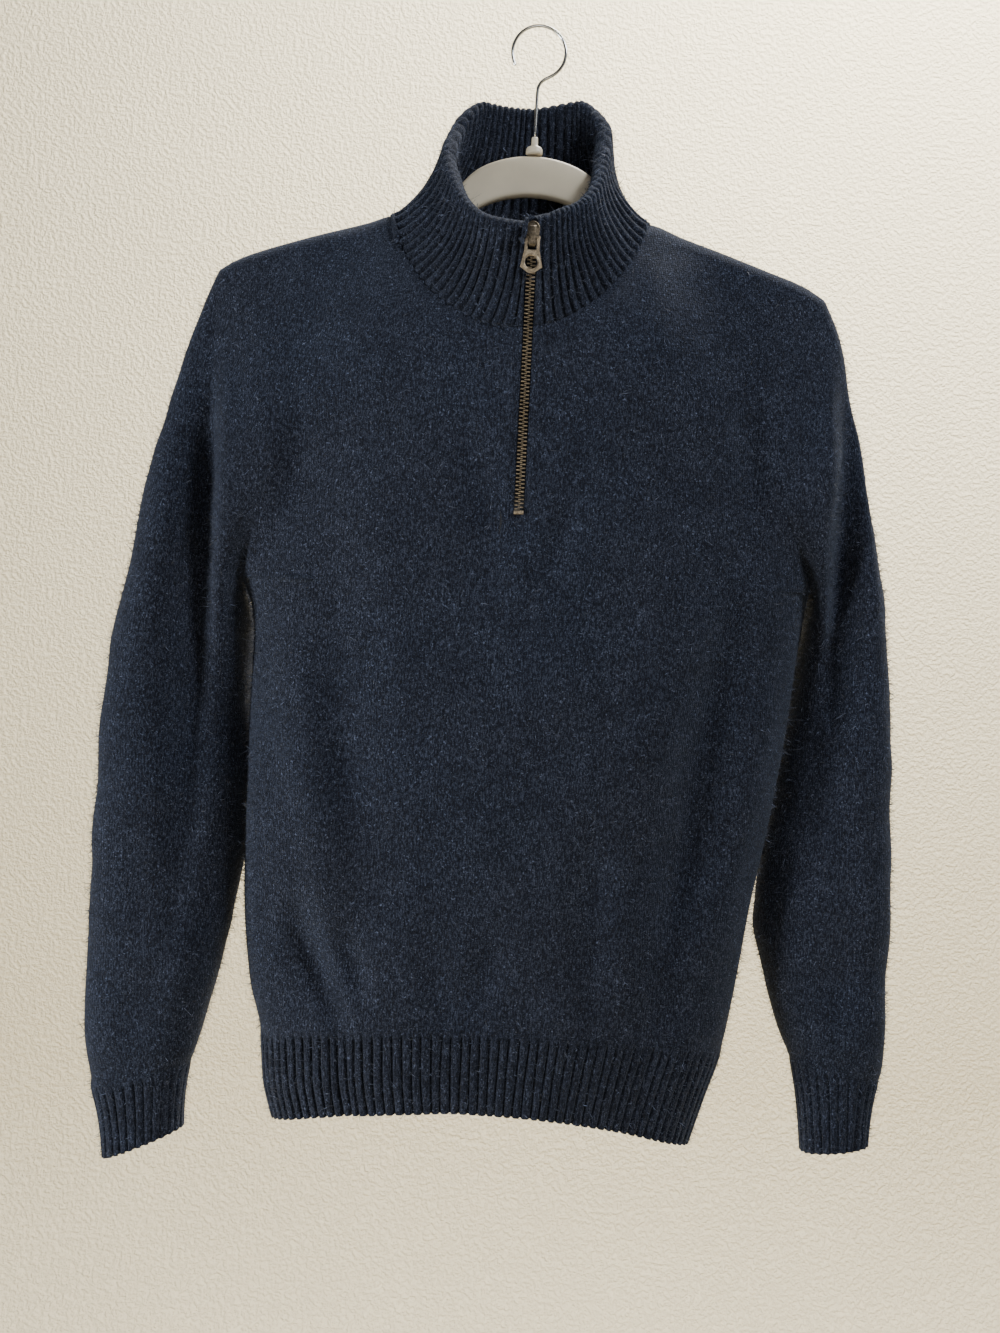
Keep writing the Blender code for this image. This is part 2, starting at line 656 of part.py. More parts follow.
def wall(piece):
    """Closed wall of a grid: outer face, inner face, and strips along every open edge."""
    outer, normals = drawn_back(piece["grid"], piece["wrap"]), piece["normals"]
    rows, columns = len(outer), len(outer[0])
    points = [point for line in outer for point in line]
    for line, line_normals in zip(outer, normals):
        points += [p - n * piece["thick"] for p, n in zip(line, line_normals)]
    inner_start = rows * columns
    faces = []
    for i in range(rows - 1):
        for j in range(columns if piece["wrap"] else columns - 1):
            if (i, j) in piece["open"]:
                continue
            k = (j + 1) % columns
            faces.append((i * columns + j, i * columns + k,
                          (i + 1) * columns + k, (i + 1) * columns + j))
    edges = {}
    for face in faces:
        for a, b in zip(face, face[1:] + face[:1]):
            edges[(a, b)] = True
    solid = list(faces)
    solid += [tuple(v + inner_start for v in reversed(face)) for face in faces]
    for a, b in edges:
        if (b, a) not in edges:
            solid += edge_strip(points, a, b, a + inner_start, b + inner_start)
    return points, solid


def loft(sections, closed_ends=True):
    """Closed solid through rings of points; the rings turn anticlockwise seen from the last one."""
    count = len(sections[0])
    points = [point for section in sections for point in section]
    faces = []
    for i in range(len(sections) - 1):
        for j in range(count):
            k = (j + 1) % count
            faces.append((i * count + j, i * count + k, (i + 1) * count + k, (i + 1) * count + j))
    if closed_ends:
        faces.append(tuple(reversed(range(count))))
        last = (len(sections) - 1) * count
        faces.append(tuple(range(last, last + count)))
    return points, faces


# ---- Blender objects ------------------------------------------------------------------------------
def material(name, colour, roughness, metallic=0.0):
    made = bpy.data.materials.new(name)
    made.use_nodes = True
    shader = made.node_tree.nodes["Principled BSDF"]
    shader.inputs["Base Color"].default_value = (*colour, 1.0)
    shader.inputs["Roughness"].default_value = roughness
    shader.inputs["Metallic"].default_value = metallic
    made.diffuse_color = (*colour, 1.0)
    return made


def solid_object(name, points, faces, colour, roughness, metallic=0.0, origin=None, smooth=True):
    """Makes an object of points and faces; unused points are dropped."""
    used = sorted({v for face in faces for v in face})
    index = {v: k for k, v in enumerate(used)}
    at = Vector(origin) if origin else Vector((0.0, 0.0, 0.0))
    mesh = bpy.data.meshes.new(name)
    mesh.from_pydata([Vector(points[v]) - at for v in used], [],
                     [[index[v] for v in face] for face in faces])
    mesh.validate()
    mesh.materials.append(material(name, colour, roughness, metallic))
    if smooth:
        mesh.shade_smooth()
        mesh.set_sharp_from_angle(angle=math.radians(50.0))
    made = bpy.data.objects.new(name, mesh)
    made.location = at
    bpy.context.scene.collection.objects.link(made)
    return made


def cloth_object(name, piece):
    points, faces = wall(piece)
    return solid_object(name, points, faces, COLOURS["wool"], 0.95)


# ---- The pieces -----------------------------------------------------------------------------------
def piece_of(grid, thick, wrap=False, flip=False, open_cells=()):
    """A piece with its normals; flip turns it over where its columns run the other way round."""
    normals = grid_normals(grid, wrap)
    if flip:
        grid = [list(reversed(line)) for line in grid]
        normals = [[-normal for normal in reversed(line)] for line in normals]
    return {"grid": grid, "normals": normals, "thick": thick, "wrap": wrap,
            "open": set(open_cells)}


def slit_cells(front):
    """The cells of the front that the zip's slit leaves out."""
    column = [k for k in range(len(front[0])) if front[0][k].x < through(MIDLINE, -0.7)][-1]
    cells = []
    for i in range(len(front) - 1):
        if front[i][column].z > ZIP_BOTTOM - 2.0 * SLIT_EASE:
            cells.append((i, column))
    return cells


def cloth_pieces():
    """All the cloth, as grids with their normals, the front and the seams first."""
    front, back = panel_grid("front"), panel_grid("back")
    pieces = {}
    pieces["front"] = piece_of(front, CLOTH, open_cells=slit_cells(front))
    pieces["back"] = piece_of(back, CLOTH, flip=True)
    pieces["hem_front"] = piece_of(hem_grid("front", front[0]), RIB_CLOTH)
    pieces["hem_back"] = piece_of(hem_grid("back", back[0]), RIB_CLOTH, flip=True)
    for name in ("left", "right"):
        loop = armhole_loop(name, front, back)
        sleeve = sleeve_grid(name, loop)
        turned = name == "left"
        pieces["sleeve_" + name] = piece_of(sleeve, CLOTH, wrap=True, flip=turned)
        pieces["cuff_" + name] = piece_of(cuff_grid(name, sleeve[0]), RIB_CLOTH, wrap=True,
                                          flip=turned)
    sections = collar_sections(neckline(front, back))
    grid = [[section[i] for section in sections] for i in range(len(sections[0]))]
    pieces["collar"] = piece_of(grid, COLLAR_SEAM, flip=True)
    share_normals(list(pieces.values()))
    square_slit([pieces["front"], pieces["collar"]])
    return pieces


def collar_solid(piece):
    """The folded collar: up its outer face, over the rounded rim and down its inner face."""
    grid = drawn_back(piece["grid"], False, COLLAR_GAP)
    grid[-1] = piece["grid"][-1]
    rows = len(grid)
    columns = len(grid[0])
    sections = []
    for j in range(columns):
        ring = []
        for i in range(rows - 1):
            ring.append(grid[i][j])
        rim, normal = grid[rows - 1][j], piece["normals"][rows - 1][j]
        rise = (rim - grid[rows - 2][j]).normalized() * COLLAR_RIM * 0.35
        ring.append(rim - rise - normal * COLLAR_RIM * 0.06)
        ring.append(rim - normal * COLLAR_RIM * 0.32)
        ring.append(rim - normal * COLLAR_RIM * 0.68)
        ring.append(rim - rise - normal * COLLAR_RIM * 0.94)
        for i in reversed(range(rows - 1)):
            thick = mix(COLLAR_SEAM, COLLAR_RIM, eased(COLLAR_ROWS[i] / 0.7))
            ring.append(grid[i][j] - piece["normals"][i][j] * thick)
        sections.append(list(reversed(ring)))
    points, faces = loft(sections)
    count = len(sections[0])
    kept = []
    for face in faces:
        if len(face) == 4 and face[0] % count == count - 1 and face[1] % count == 0:
            kept += edge_strip(points, face[0], face[3], face[1], face[2])
        else:
            kept.append(face)
    return points, kept


def zip_line(front, collar):
    """Outer face of the cloth along the zip, as pairs of height and y, from below the slit up."""
    grid = front["grid"]
    column = [k for k in range(len(grid[0])) if grid[-1][k].x < ZIP_X][-1]
    line = [(row[column].z, row[column].y) for row in grid if row[column].z > ZIP_BOTTOM - 0.03]
    for row in collar["grid"][1:]:
        edge = row[0] if abs(row[0].x - ZIP_X) < abs(row[-1].x - ZIP_X) else row[-1]
        line.append((edge.z, edge.y))
    return line


def strip_rings(line, low, high, half_width, sink, thick):
    """Cross-sections of a flat strip behind the cloth's face; half_width is a function of z."""
    count = int((high - low) / STRIP_STEP) + 1
    first = math.ceil(low / STRIP_STEP)
    between = [(first + k) * STRIP_STEP for k in range(count)]
    rings = []
    for z in [low] + [z for z in between if low + 0.001 < z < high - 0.001] + [high]:
        y = through(line, z) + sink
        half = half_width(z)
        rings.append([Vector((ZIP_X - half, y, z)), Vector((ZIP_X + half, y, z)),
                      Vector((ZIP_X + half, y + thick, z)), Vector((ZIP_X - half, y + thick, z))])
    return rings


def zip_parts(front, collar):
    """The zip's tape, its closed teeth as one strip, its bottom stop and its slider."""
    line = zip_line(front, collar)
    seam_z = front["grid"][-1][len(front["grid"][0]) // 2].z
    rim_z = line[-1][0]
    metal = COLOURS["brass"]

    def tape_half(z):
        return TAPE_HALF if z < narrowing else TAPE_HALF_IN_SLIT

    narrowing = seam_z - 0.004
    rings = strip_rings(line, ZIP_BOTTOM - TAPE_END, narrowing - 0.0005, tape_half, TAPE_SINK,
                        TAPE_THICK)
    rings += strip_rings(line, narrowing + 0.0005, rim_z - 0.004, tape_half, TAPE_SINK,
                         TAPE_THICK)
    points, faces = loft(rings)
    solid_object("zip_tape", points, faces, COLOURS["tape"], 0.85, smooth=False)

    teeth_top = ZIP_TOP - SLIDER_TALL - 0.0003
    stop_top = ZIP_BOTTOM + STOP_TALL
    rings = strip_rings(line, stop_top + 0.0003, teeth_top, lambda z: TEETH_HALF, TEETH_SINK,
                        TEETH_THICK)
    points, faces = loft(rings)
    solid_object("zip_teeth", points, faces, metal, 0.4, 0.9, smooth=False)

    rings = strip_rings(line, ZIP_BOTTOM, stop_top, lambda z: TEETH_HALF + 0.0003,
                        TEETH_SINK - 0.0004, TEETH_THICK + 0.0004)
    points, faces = loft(rings)
    solid_object("zip_stop", points, faces, metal, 0.35, 0.9, smooth=False)
    return line


def join_solids(name, parts):
    """Unites closed shapes into one solid with Boolean modifiers, and applies them."""
    base = parts[0]
    for other in parts[1:]:
        cut = base.modifiers.new("join_" + other.name, "BOOLEAN")
        cut.operation = "UNION"
        cut.object = other
    graph = bpy.context.evaluated_depsgraph_get()
    joined = bpy.data.meshes.new_from_object(base.evaluated_get(graph))
    base.modifiers.clear()
    base.data = joined
    base.name = name
    joined.name = name
    for other in parts[1:]:
        bpy.data.objects.remove(other)
    return base


def extruded(name, outline, y_front, y_back, colour, roughness, metallic, origin=None):
    """A plate: an outline of x and z, anticlockwise seen from the front, between two depths."""
    rings = [[Vector((x, y_back, z)) for x, z in outline],
             [Vector((x, y_front, z)) for x, z in outline]]
    points, faces = loft(rings)
    return solid_object(name, points, faces, colour, roughness, metallic, origin)


def tube(name, path, radius, sides, colour, roughness, metallic, origin=None):
    """A round bar along a path of points in the plane y = constant or along X."""
    rings = []
    for k, point in enumerate(path):
        before, after = path[max(k - 1, 0)], path[min(k + 1, len(path) - 1)]
        along = (after - before).normalized()
        side = Vector((0.0, 1.0, 0.0))
        up = along.cross(side)
        ring = []
        for j in range(sides):
            angle = 2.0 * math.pi * (j + 0.5) / sides
            ring.append(point + (up * math.cos(angle) + side * math.sin(angle)) * radius)
        rings.append(ring)
    points, faces = loft(rings)
    faces = [tuple(reversed(face)) for face in faces]
    return solid_object(name, points, faces, colour, roughness, metallic, origin)


def slider(line):
    """The slider: a plate over the cloth, a core in the slit, and the bail over the plate."""
    heights = [mix(ZIP_TOP - SLIDER_TALL, ZIP_TOP, k / 8) for k in range(9)]
    face_y = min(through(line, z) for z in heights)
    plate_back = face_y - SLIDER_CLEAR
    plate_front = plate_back - SLIDER_PLATE
    bottom = ZIP_TOP - SLIDER_TALL
    metal = COLOURS["brass"]
    crown = []
    for k in range(9):
        angle = math.pi * k / 8
        crown.append((ZIP_X + SLIDER_HALF * math.cos(angle),
                      ZIP_TOP - 0.004 + 0.004 * math.sin(angle)))
    outline = crown + [(ZIP_X - SLIDER_FOOT_HALF, bottom), (ZIP_X + SLIDER_FOOT_HALF, bottom)]
    plate = extruded("slider_plate", outline, plate_front, plate_back, metal, 0.35, 0.9)
    core_half = TEETH_HALF
    core_outline = [(ZIP_X - core_half, bottom + 0.0002), (ZIP_X + core_half, bottom + 0.0002),
                    (ZIP_X + core_half, ZIP_TOP - 0.001), (ZIP_X - core_half, ZIP_TOP - 0.001)]
    core = extruded("slider_core", core_outline, plate_back - 0.0005,
                    face_y + TEETH_SINK + TEETH_THICK, metal, 0.35, 0.9)
    reach = BAIL_RISE + BAIL_BAR
    profile = []
    for k in range(13):
        angle = math.pi * k / 12
        up = abs(math.cos(angle)) ** 0.45 * math.copysign(1.0, math.cos(angle))
        out = math.sin(angle) ** 0.45
        profile.append((up, out))
    middle_z = 0.5 * (BAIL_TOP + BAIL_BOTTOM)
    half_tall = 0.5 * (BAIL_TOP - BAIL_BOTTOM)
    rings = []
    for up, out in profile:
        outer = Vector((0.0, plate_front + 0.0005 - (reach + 0.0005) * out,
                        middle_z + half_tall * up))
        inner = Vector((0.0, plate_front + 0.0005 - (BAIL_RISE + 0.0005) * out,
                        middle_z + (half_tall - BAIL_BAR) * up))
        left, right = Vector((ZIP_X - BAIL_HALF, 0.0, 0.0)), Vector((ZIP_X + BAIL_HALF, 0.0, 0.0))
        rings.append([outer + right, outer + left, inner + left, inner + right])
    points, faces = loft(rings)
    bail = solid_object("slider_bail", points, faces, metal, 0.35, 0.9)
    join_solids("zip_slider", [plate, core, bail])
    return plate_front


def pull_tab(plate_front):
    """The pull tab, hanging from a bar under the bail. Its origin is on its hinge line."""
    pivot_y = plate_front - 0.5 * BAIL_RISE
    origin = (ZIP_X, pivot_y, PIVOT_Z)
    metal = COLOURS["brass"]
    y_front, y_back = pivot_y - TAB_THICK / 2, pivot_y + TAB_THICK / 2
    top_z = PIVOT_Z + TAB_BAR_RADIUS
    outline = [
        (ZIP_X - TAB_FORK_HALF, top_z), (ZIP_X - TAB_TOP_HALF, top_z),
        (ZIP_X - TAB_TOP_HALF, TAB_FORK_Z), (ZIP_X - TAB_WIDE_HALF, TAB_WIDE_Z),
        (ZIP_X - TAB_TIP_HALF, TAB_TIP_Z), (ZIP_X + TAB_TIP_HALF, TAB_TIP_Z),
        (ZIP_X + TAB_WIDE_HALF, TAB_WIDE_Z), (ZIP_X + TAB_TOP_HALF, TAB_FORK_Z),
        (ZIP_X + TAB_TOP_HALF, top_z), (ZIP_X + TAB_FORK_HALF, top_z),
        (ZIP_X + TAB_FORK_HALF, TAB_FORK_Z), (ZIP_X - TAB_FORK_HALF, TAB_FORK_Z),
    ]
    plate = extruded("tab_plate", outline, y_front, y_back, metal, 0.4, 0.9, origin)
    hole = []
    for k in range(24):
        angle = 2.0 * math.pi * k / 24
        hole.append((ZIP_X + TAB_HOLE_RADIUS * math.cos(angle),
                     TAB_HOLE_Z + TAB_HOLE_RADIUS * math.sin(angle)))
    cutter = extruded("tab_hole", hole, y_front - 0.001, y_back + 0.001, metal, 0.4, 0.9, origin)
    cut = plate.modifiers.new("hole", "BOOLEAN")
    cut.operation = "DIFFERENCE"
    cut.object = cutter
    graph = bpy.context.evaluated_depsgraph_get()
    plate.data = bpy.data.meshes.new_from_object(plate.evaluated_get(graph))
    plate.modifiers.clear()
    bpy.data.objects.remove(cutter)
    ends = [Vector((ZIP_X - TAB_TOP_HALF + 0.0004, pivot_y, PIVOT_Z)),
            Vector((ZIP_X + TAB_TOP_HALF - 0.0004, pivot_y, PIVOT_Z))]
    bar = tube("tab_bar", ends, TAB_BAR_RADIUS, 10, metal, 0.4, 0.9, origin)
    join_solids("pull_tab", [plate, bar])


def hanger():
    """The hanger: a curved arm to each side, a boss with its stem, and the wire hook."""
    plastic = COLOURS["plastic"]
    places = [-row[0] for row in reversed(HANGER)] + [row[0] for row in HANGER[1:]]
    rings = []
    for x in places:
        top, tall, half = [through(HANGER, abs(x), column) for column in (1, 2, 3)]
        ring = []
        for k in range(HANGER_ROUNDS):
            angle = 2.0 * math.pi * (k + 0.5) / HANGER_ROUNDS
            middle = top - half if math.sin(angle) > 0.0 else top - tall + half
            if tall < 2.0 * half:
                middle = top - 0.5 * tall
            rise = min(half, 0.5 * tall)
            ring.append(Vector((x, half * math.cos(angle), middle + rise * math.sin(angle))))
        rings.append(ring)
    points, faces = loft(rings)
    solid_object("hanger", points, faces, plastic, 0.5)

    foot = HANGER[0][1] + 0.0003
    outline = [(BOSS_HALF, foot), (BOSS_HALF * 0.9, foot + BOSS_TALL * 0.7),
               (BOSS_HALF * 0.6, foot + BOSS_TALL), (STEM_RADIUS, foot + BOSS_TALL),
               (STEM_RADIUS, foot + STEM_TALL)]
    rings = []
    for radius, z in outline:
        rings.append([Vector((radius * math.cos(2.0 * math.pi * k / 16),
                              min(radius, 0.0045) * math.sin(2.0 * math.pi * k / 16), z))
                      for k in range(16)])
    points, faces = loft(rings)
    solid_object("hanger_boss", points, faces, plastic, 0.5)

    centre_z = WIRE_RADIUS - HOOK_RADIUS
    bend_z = centre_z - math.sqrt(HOOK_RADIUS ** 2 + 2.0 * HOOK_RADIUS * HOOK_BEND)
    start_z = foot + STEM_TALL + 0.0003
    path = [Vector((0.0, 0.0, start_z)), Vector((0.0, 0.0, mix(start_z, bend_z, 0.5)))]
    touch = math.pi - math.atan2(centre_z - bend_z, HOOK_BEND)
    for k in range(5):
        angle = mix(math.pi, touch, k / 4)
        path.append(Vector((HOOK_BEND + HOOK_BEND * math.cos(angle), 0.0,
                            bend_z + HOOK_BEND * math.sin(angle))))
    first = path[-1]
    start = math.degrees(math.atan2(first.z - centre_z, first.x))
    for k in range(1, 21):
        angle = math.radians(mix(start, HOOK_END_ANGLE, k / 20))
        path.append(Vector((HOOK_RADIUS * math.cos(angle), 0.0,
                            centre_z + HOOK_RADIUS * math.sin(angle))))
    tube("hanger_hook", path, WIRE_RADIUS, HOOK_SIDES, COLOURS["wire"], 0.25, 1.0)


def main():
    for old in list(bpy.data.objects):
        bpy.data.objects.remove(old)
    pieces = cloth_pieces()
    for name, piece in pieces.items():
        if name == "collar":
            points, faces = collar_solid(piece)
            solid_object(name, points, faces, COLOURS["wool"], 0.95)
        else:
            cloth_object(name, piece)
    line = zip_parts(pieces["front"], pieces["collar"])
    pull_tab(slider(line))
    hanger()


main()
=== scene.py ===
"""Quarter zip sweater on its hanger: the cloth, the zip and the hanger with their finishes.

Metres, +Z up, +X to the right as seen from the front, and the front faces -Y. Left and right are
the viewer's. Every piece of cloth is a fine grid on the form of its solid, with its folds pressed
in and its ribs raised, and it rides on the sweater's body. The pull tab turns on its hinge.
"""
import math

import bmesh
import bpy
import numpy as np
from bpy.props import FloatProperty, FloatVectorProperty, IntProperty, PointerProperty
from mathutils import Matrix, Vector, noise


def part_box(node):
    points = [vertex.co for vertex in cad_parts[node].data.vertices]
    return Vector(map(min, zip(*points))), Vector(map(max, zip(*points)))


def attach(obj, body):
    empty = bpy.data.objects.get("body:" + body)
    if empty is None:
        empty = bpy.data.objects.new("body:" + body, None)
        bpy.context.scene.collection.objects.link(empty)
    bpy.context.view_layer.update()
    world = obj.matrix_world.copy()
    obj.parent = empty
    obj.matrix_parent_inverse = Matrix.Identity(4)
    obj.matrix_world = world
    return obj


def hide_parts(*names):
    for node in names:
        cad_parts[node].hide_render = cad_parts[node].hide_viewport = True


bl_info = {
    "name": "Quarter Zip Sweater",
    "version": (1, 0, 0),
    "blender": (4, 5, 0),
    "location": "View3D > Sidebar > Sweater",
    "description": "Builds a knitted quarter zip sweater on its hanger",
    "category": "Object",
}

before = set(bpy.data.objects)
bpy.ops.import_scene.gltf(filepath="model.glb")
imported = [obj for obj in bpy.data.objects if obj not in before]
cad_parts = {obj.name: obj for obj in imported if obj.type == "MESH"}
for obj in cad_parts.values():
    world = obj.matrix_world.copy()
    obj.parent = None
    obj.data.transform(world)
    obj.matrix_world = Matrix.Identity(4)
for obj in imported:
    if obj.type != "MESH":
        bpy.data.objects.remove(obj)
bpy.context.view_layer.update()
BODY = "sweater"
TAB_BODY = "tab"

# ---- Sizes of the sweater's form -----------------------------------------------------------------
SEAM_GAP = 0.00016        # clear space between two pieces at a seam
FOLD_RADIUS = 0.0090      # outer radius of the cloth over the hanger's arms
DRAPE_NECK = 0.120        # how far below the neck's edge the front reaches its full depth
DRAPE_SHOULDER = 0.200    # and below the shoulders
ZIP_X = 0.0015            # the zip's line
SLIT_HALF = 0.0035        # half the width of the slit for the zip
ZIP_BOTTOM = -0.342       # lower end of the zip
TAB_HOLE_Z = -0.1757      # middle of the pull tab's hole
TAB_HOLE_RIM = 0.0050     # radius of the raised rim round it
NECK_X = -0.0073          # the neck opening's middle
NECK_HALF = 0.0872        # and half its width
NECK_DROP = 0.085         # how far the front neckline dips
NECK_DROP_POWER = 0.675   # how round that dip is
NECK_SPREAD = 0.9         # how fast the neck's roundness widens down the panels
NECK_LIFT_BACK = 0.012    # how far the back neckline rises between the shoulders
NECK_BACK = 0.047         # how far the neckline stands behind the hanger
HEM_RISE_FRONT = 0.014    # how far the hem rises in the middle of the front
HEM_RISE_BACK = 0.002     # and behind
HEM_TALL_BACK = 0.060     # height of the ribbed hem behind
ARMHOLE_FRONT = 0.044     # how far the armhole reaches in front of the shoulder
ARMHOLE_BACK = 0.040      # and behind it
ARMHOLE_ROUND = 0.5       # share of the armhole's height over which it opens from the underarm
SEAM_FROM = 0.90          # share of a panel's half from which it runs flat to the armhole's seam

LEFT_EDGE = (
    # height,  edge
    (-0.7610, -0.1470),
    (-0.7350, -0.1540),
    (-0.6990, -0.1580),
    (-0.6660, -0.1670),
    (-0.6050, -0.1740),
    (-0.5420, -0.1760),
    (-0.4730, -0.1765),
    (-0.4300, -0.1760),
    (-0.4100, -0.1785),
    (-0.3914, -0.1857),
)
RIGHT_EDGE = (
    (-0.7640, 0.1400),
    (-0.7330, 0.1490),
    (-0.6970, 0.1600),
    (-0.6490, 0.1680),
    (-0.5970, 0.1750),
    (-0.5520, 0.1830),
    (-0.4820, 0.1930),
    (-0.4130, 0.2000),
    (-0.3820, 0.2040),
)
LEFT_ARMHOLE = (
    (-0.3914, -0.1857),
    (-0.3650, -0.1780),
    (-0.3300, -0.1700),
    (-0.2900, -0.1665),
    (-0.2560, -0.1740),
    (-0.2200, -0.1880),
    (-0.1940, -0.2015),
    (-0.1785, -0.2120),
)
RIGHT_ARMHOLE = (
    (-0.3820, 0.2040),
    (-0.3590, 0.1940),
    (-0.3150, 0.1770),
    (-0.2750, 0.1752),
    (-0.2400, 0.1800),
    (-0.2060, 0.1905),
    (-0.1775, 0.2030),
)
SHOULDERS = (
    # x,       height of the cloth over the hanger's arm
    (-0.2120, -0.1785),
    (-0.2030, -0.1725),
    (-0.1920, -0.1672),
    (-0.1550, -0.1543),
    (-0.1110, -0.1410),
    (-0.0945, -0.1355),
    (0.0799, -0.1325),
    (0.1056, -0.1410),
    (0.1350, -0.1506),
    (0.1630, -0.1603),
    (0.1900, -0.1700),
    (0.2030, -0.1775),
)
DEPTHS = (
    # height,  front, back
    (-0.7640, 0.054, 0.050),
    (-0.6980, 0.058, 0.053),
    (-0.6000, 0.063, 0.055),
    (-0.4800, 0.067, 0.056),
    (-0.3600, 0.067, 0.054),
    (-0.2600, 0.064, 0.052),
    (-0.1300, 0.060, 0.050),
)
MIDLINE = (
    # height,  x of the line down the middle
    (-0.7640, -0.0030),
    (-0.5500, -0.0005),
    (-0.3600, 0.0015),
    (-0.1200, 0.0015),
)
HEM_DROP_LEFT = 0.0600    # height of the ribbed hem at its left, middle and right
HEM_DROP_MIDDLE = 0.0550
HEM_DROP_RIGHT = 0.0660
SLEEVES = {
    "left": (
        # inner x, inner z, outer x, outer z, front, back, middle y at the inner and outer edge
        (-0.2050, -0.7240, -0.2725, -0.7450, 0.0220, 0.0220, 0.000, 0.000),
        (-0.1975, -0.6980, -0.2770, -0.7150, 0.0260, 0.0250, 0.001, 0.000),
        (-0.1860, -0.6500, -0.2795, -0.6680, 0.0310, 0.0290, 0.002, 0.000),
        (-0.1790, -0.6000, -0.2800, -0.6120, 0.0350, 0.0320, 0.010, 0.000),
        (-0.1755, -0.5450, -0.2790, -0.5500, 0.0380, 0.0340, 0.016, 0.000),
        (-0.1762, -0.4850, -0.2770, -0.4900, 0.0410, 0.0360, 0.021, 0.000),
        (-0.1778, -0.4450, -0.2730, -0.4400, 0.0430, 0.0380, 0.024, 0.000),
        (-0.1803, -0.4170, -0.2660, -0.3850, 0.0440, 0.0390, 0.023, 0.000),
        (-0.1850, -0.4030, -0.2580, -0.3260, 0.0440, 0.0390, 0.015, 0.000),
        (-0.1866, -0.3965, -0.2450, -0.2620, 0.0400, 0.0370, 0.007, 0.000),
        (-0.1864, -0.3933, -0.2290, -0.2080, 0.0320, 0.0300, 0.002, 0.000),
    ),
    "right": (
        (0.2080, -0.7010, 0.2690, -0.7140, 0.0220, 0.0220, 0.003, 0.000),
        (0.2010, -0.6840, 0.2705, -0.6920, 0.0260, 0.0250, 0.005, 0.000),
        (0.1895, -0.6460, 0.2715, -0.6560, 0.0310, 0.0290, 0.009, 0.000),
        (0.1795, -0.6050, 0.2705, -0.6050, 0.0340, 0.0310, 0.016, 0.000),
        (0.1845, -0.5500, 0.2690, -0.5500, 0.0370, 0.0330, 0.022, 0.001),
        (0.1945, -0.4850, 0.2655, -0.4850, 0.0400, 0.0350, 0.024, 0.001),
        (0.2000, -0.4400, 0.2620, -0.4350, 0.0420, 0.0370, 0.024, 0.001),
        (0.2045, -0.4100, 0.2560, -0.3800, 0.0430, 0.0380, 0.021, 0.000),
        (0.2074, -0.3960, 0.2490, -0.3200, 0.0430, 0.0380, 0.012, 0.000),
        (0.2072, -0.3885, 0.2400, -0.2590, 0.0390, 0.0360, 0.004, 0.000),
        (0.2056, -0.3850, 0.2230, -0.2070, 0.0310, 0.0290, 0.000, 0.000),
    ),
}
SLEEVE_PLACES = 11.0      # the armhole's seam is one place beyond the last row above
SLEEVE_BLEND = 6.0        # a sleeve starts to turn towards its armhole at this row
RING_ROUNDNESS = 2.3      # 2 is an ellipse, more is squarer
CUFFS = {
    # inner x, inner z, outer x, outer z of the cuff's open end, and its half-depth
    "left": (-0.2080, -0.7690, -0.2620, -0.7930, 0.0200),
    "right": (0.2180, -0.7640, 0.2640, -0.7580, 0.0200),
}
RIM = (
    # degrees round the neck from the front, and the top of the collar there: x, y, z
    (-8.0, 0.0050, -0.0570, -0.1470),
    (8.0, -0.0080, -0.0570, -0.1465),
    (25.0, -0.0270, -0.0540, -0.1440),
    (50.0, -0.0460, -0.0420, -0.1310),
    (70.0, -0.0570, -0.0250, -0.1100),
    (90.0, -0.0630, -0.0030, -0.0860),
    (115.0, -0.0590, 0.0220, -0.0620),
    (145.0, -0.0390, 0.0460, -0.0410),
    (180.0, -0.0060, 0.0550, -0.0420),
    (215.0, 0.0350, 0.0450, -0.0370),
    (248.0, 0.0530, 0.0180, -0.0600),
    (270.0, 0.0515, -0.0020, -0.0850),
    (290.0, 0.0480, -0.0240, -0.1080),
    (310.0, 0.0370, -0.0430, -0.1270),
    (335.0, 0.0190, -0.0530, -0.1370),
    (356.0, 0.0040, -0.0570, -0.1450),
)
COLLAR_FLARE = 1.5        # above 1 the collar turns in sooner than evenly
COLLAR_RISE = 1.3         # and above 1 it rises later
COLLAR_SEAM = 0.0026      # thickness of the folded collar at its seam
COLLAR_RIM = 0.0112       # and at its rounded rim

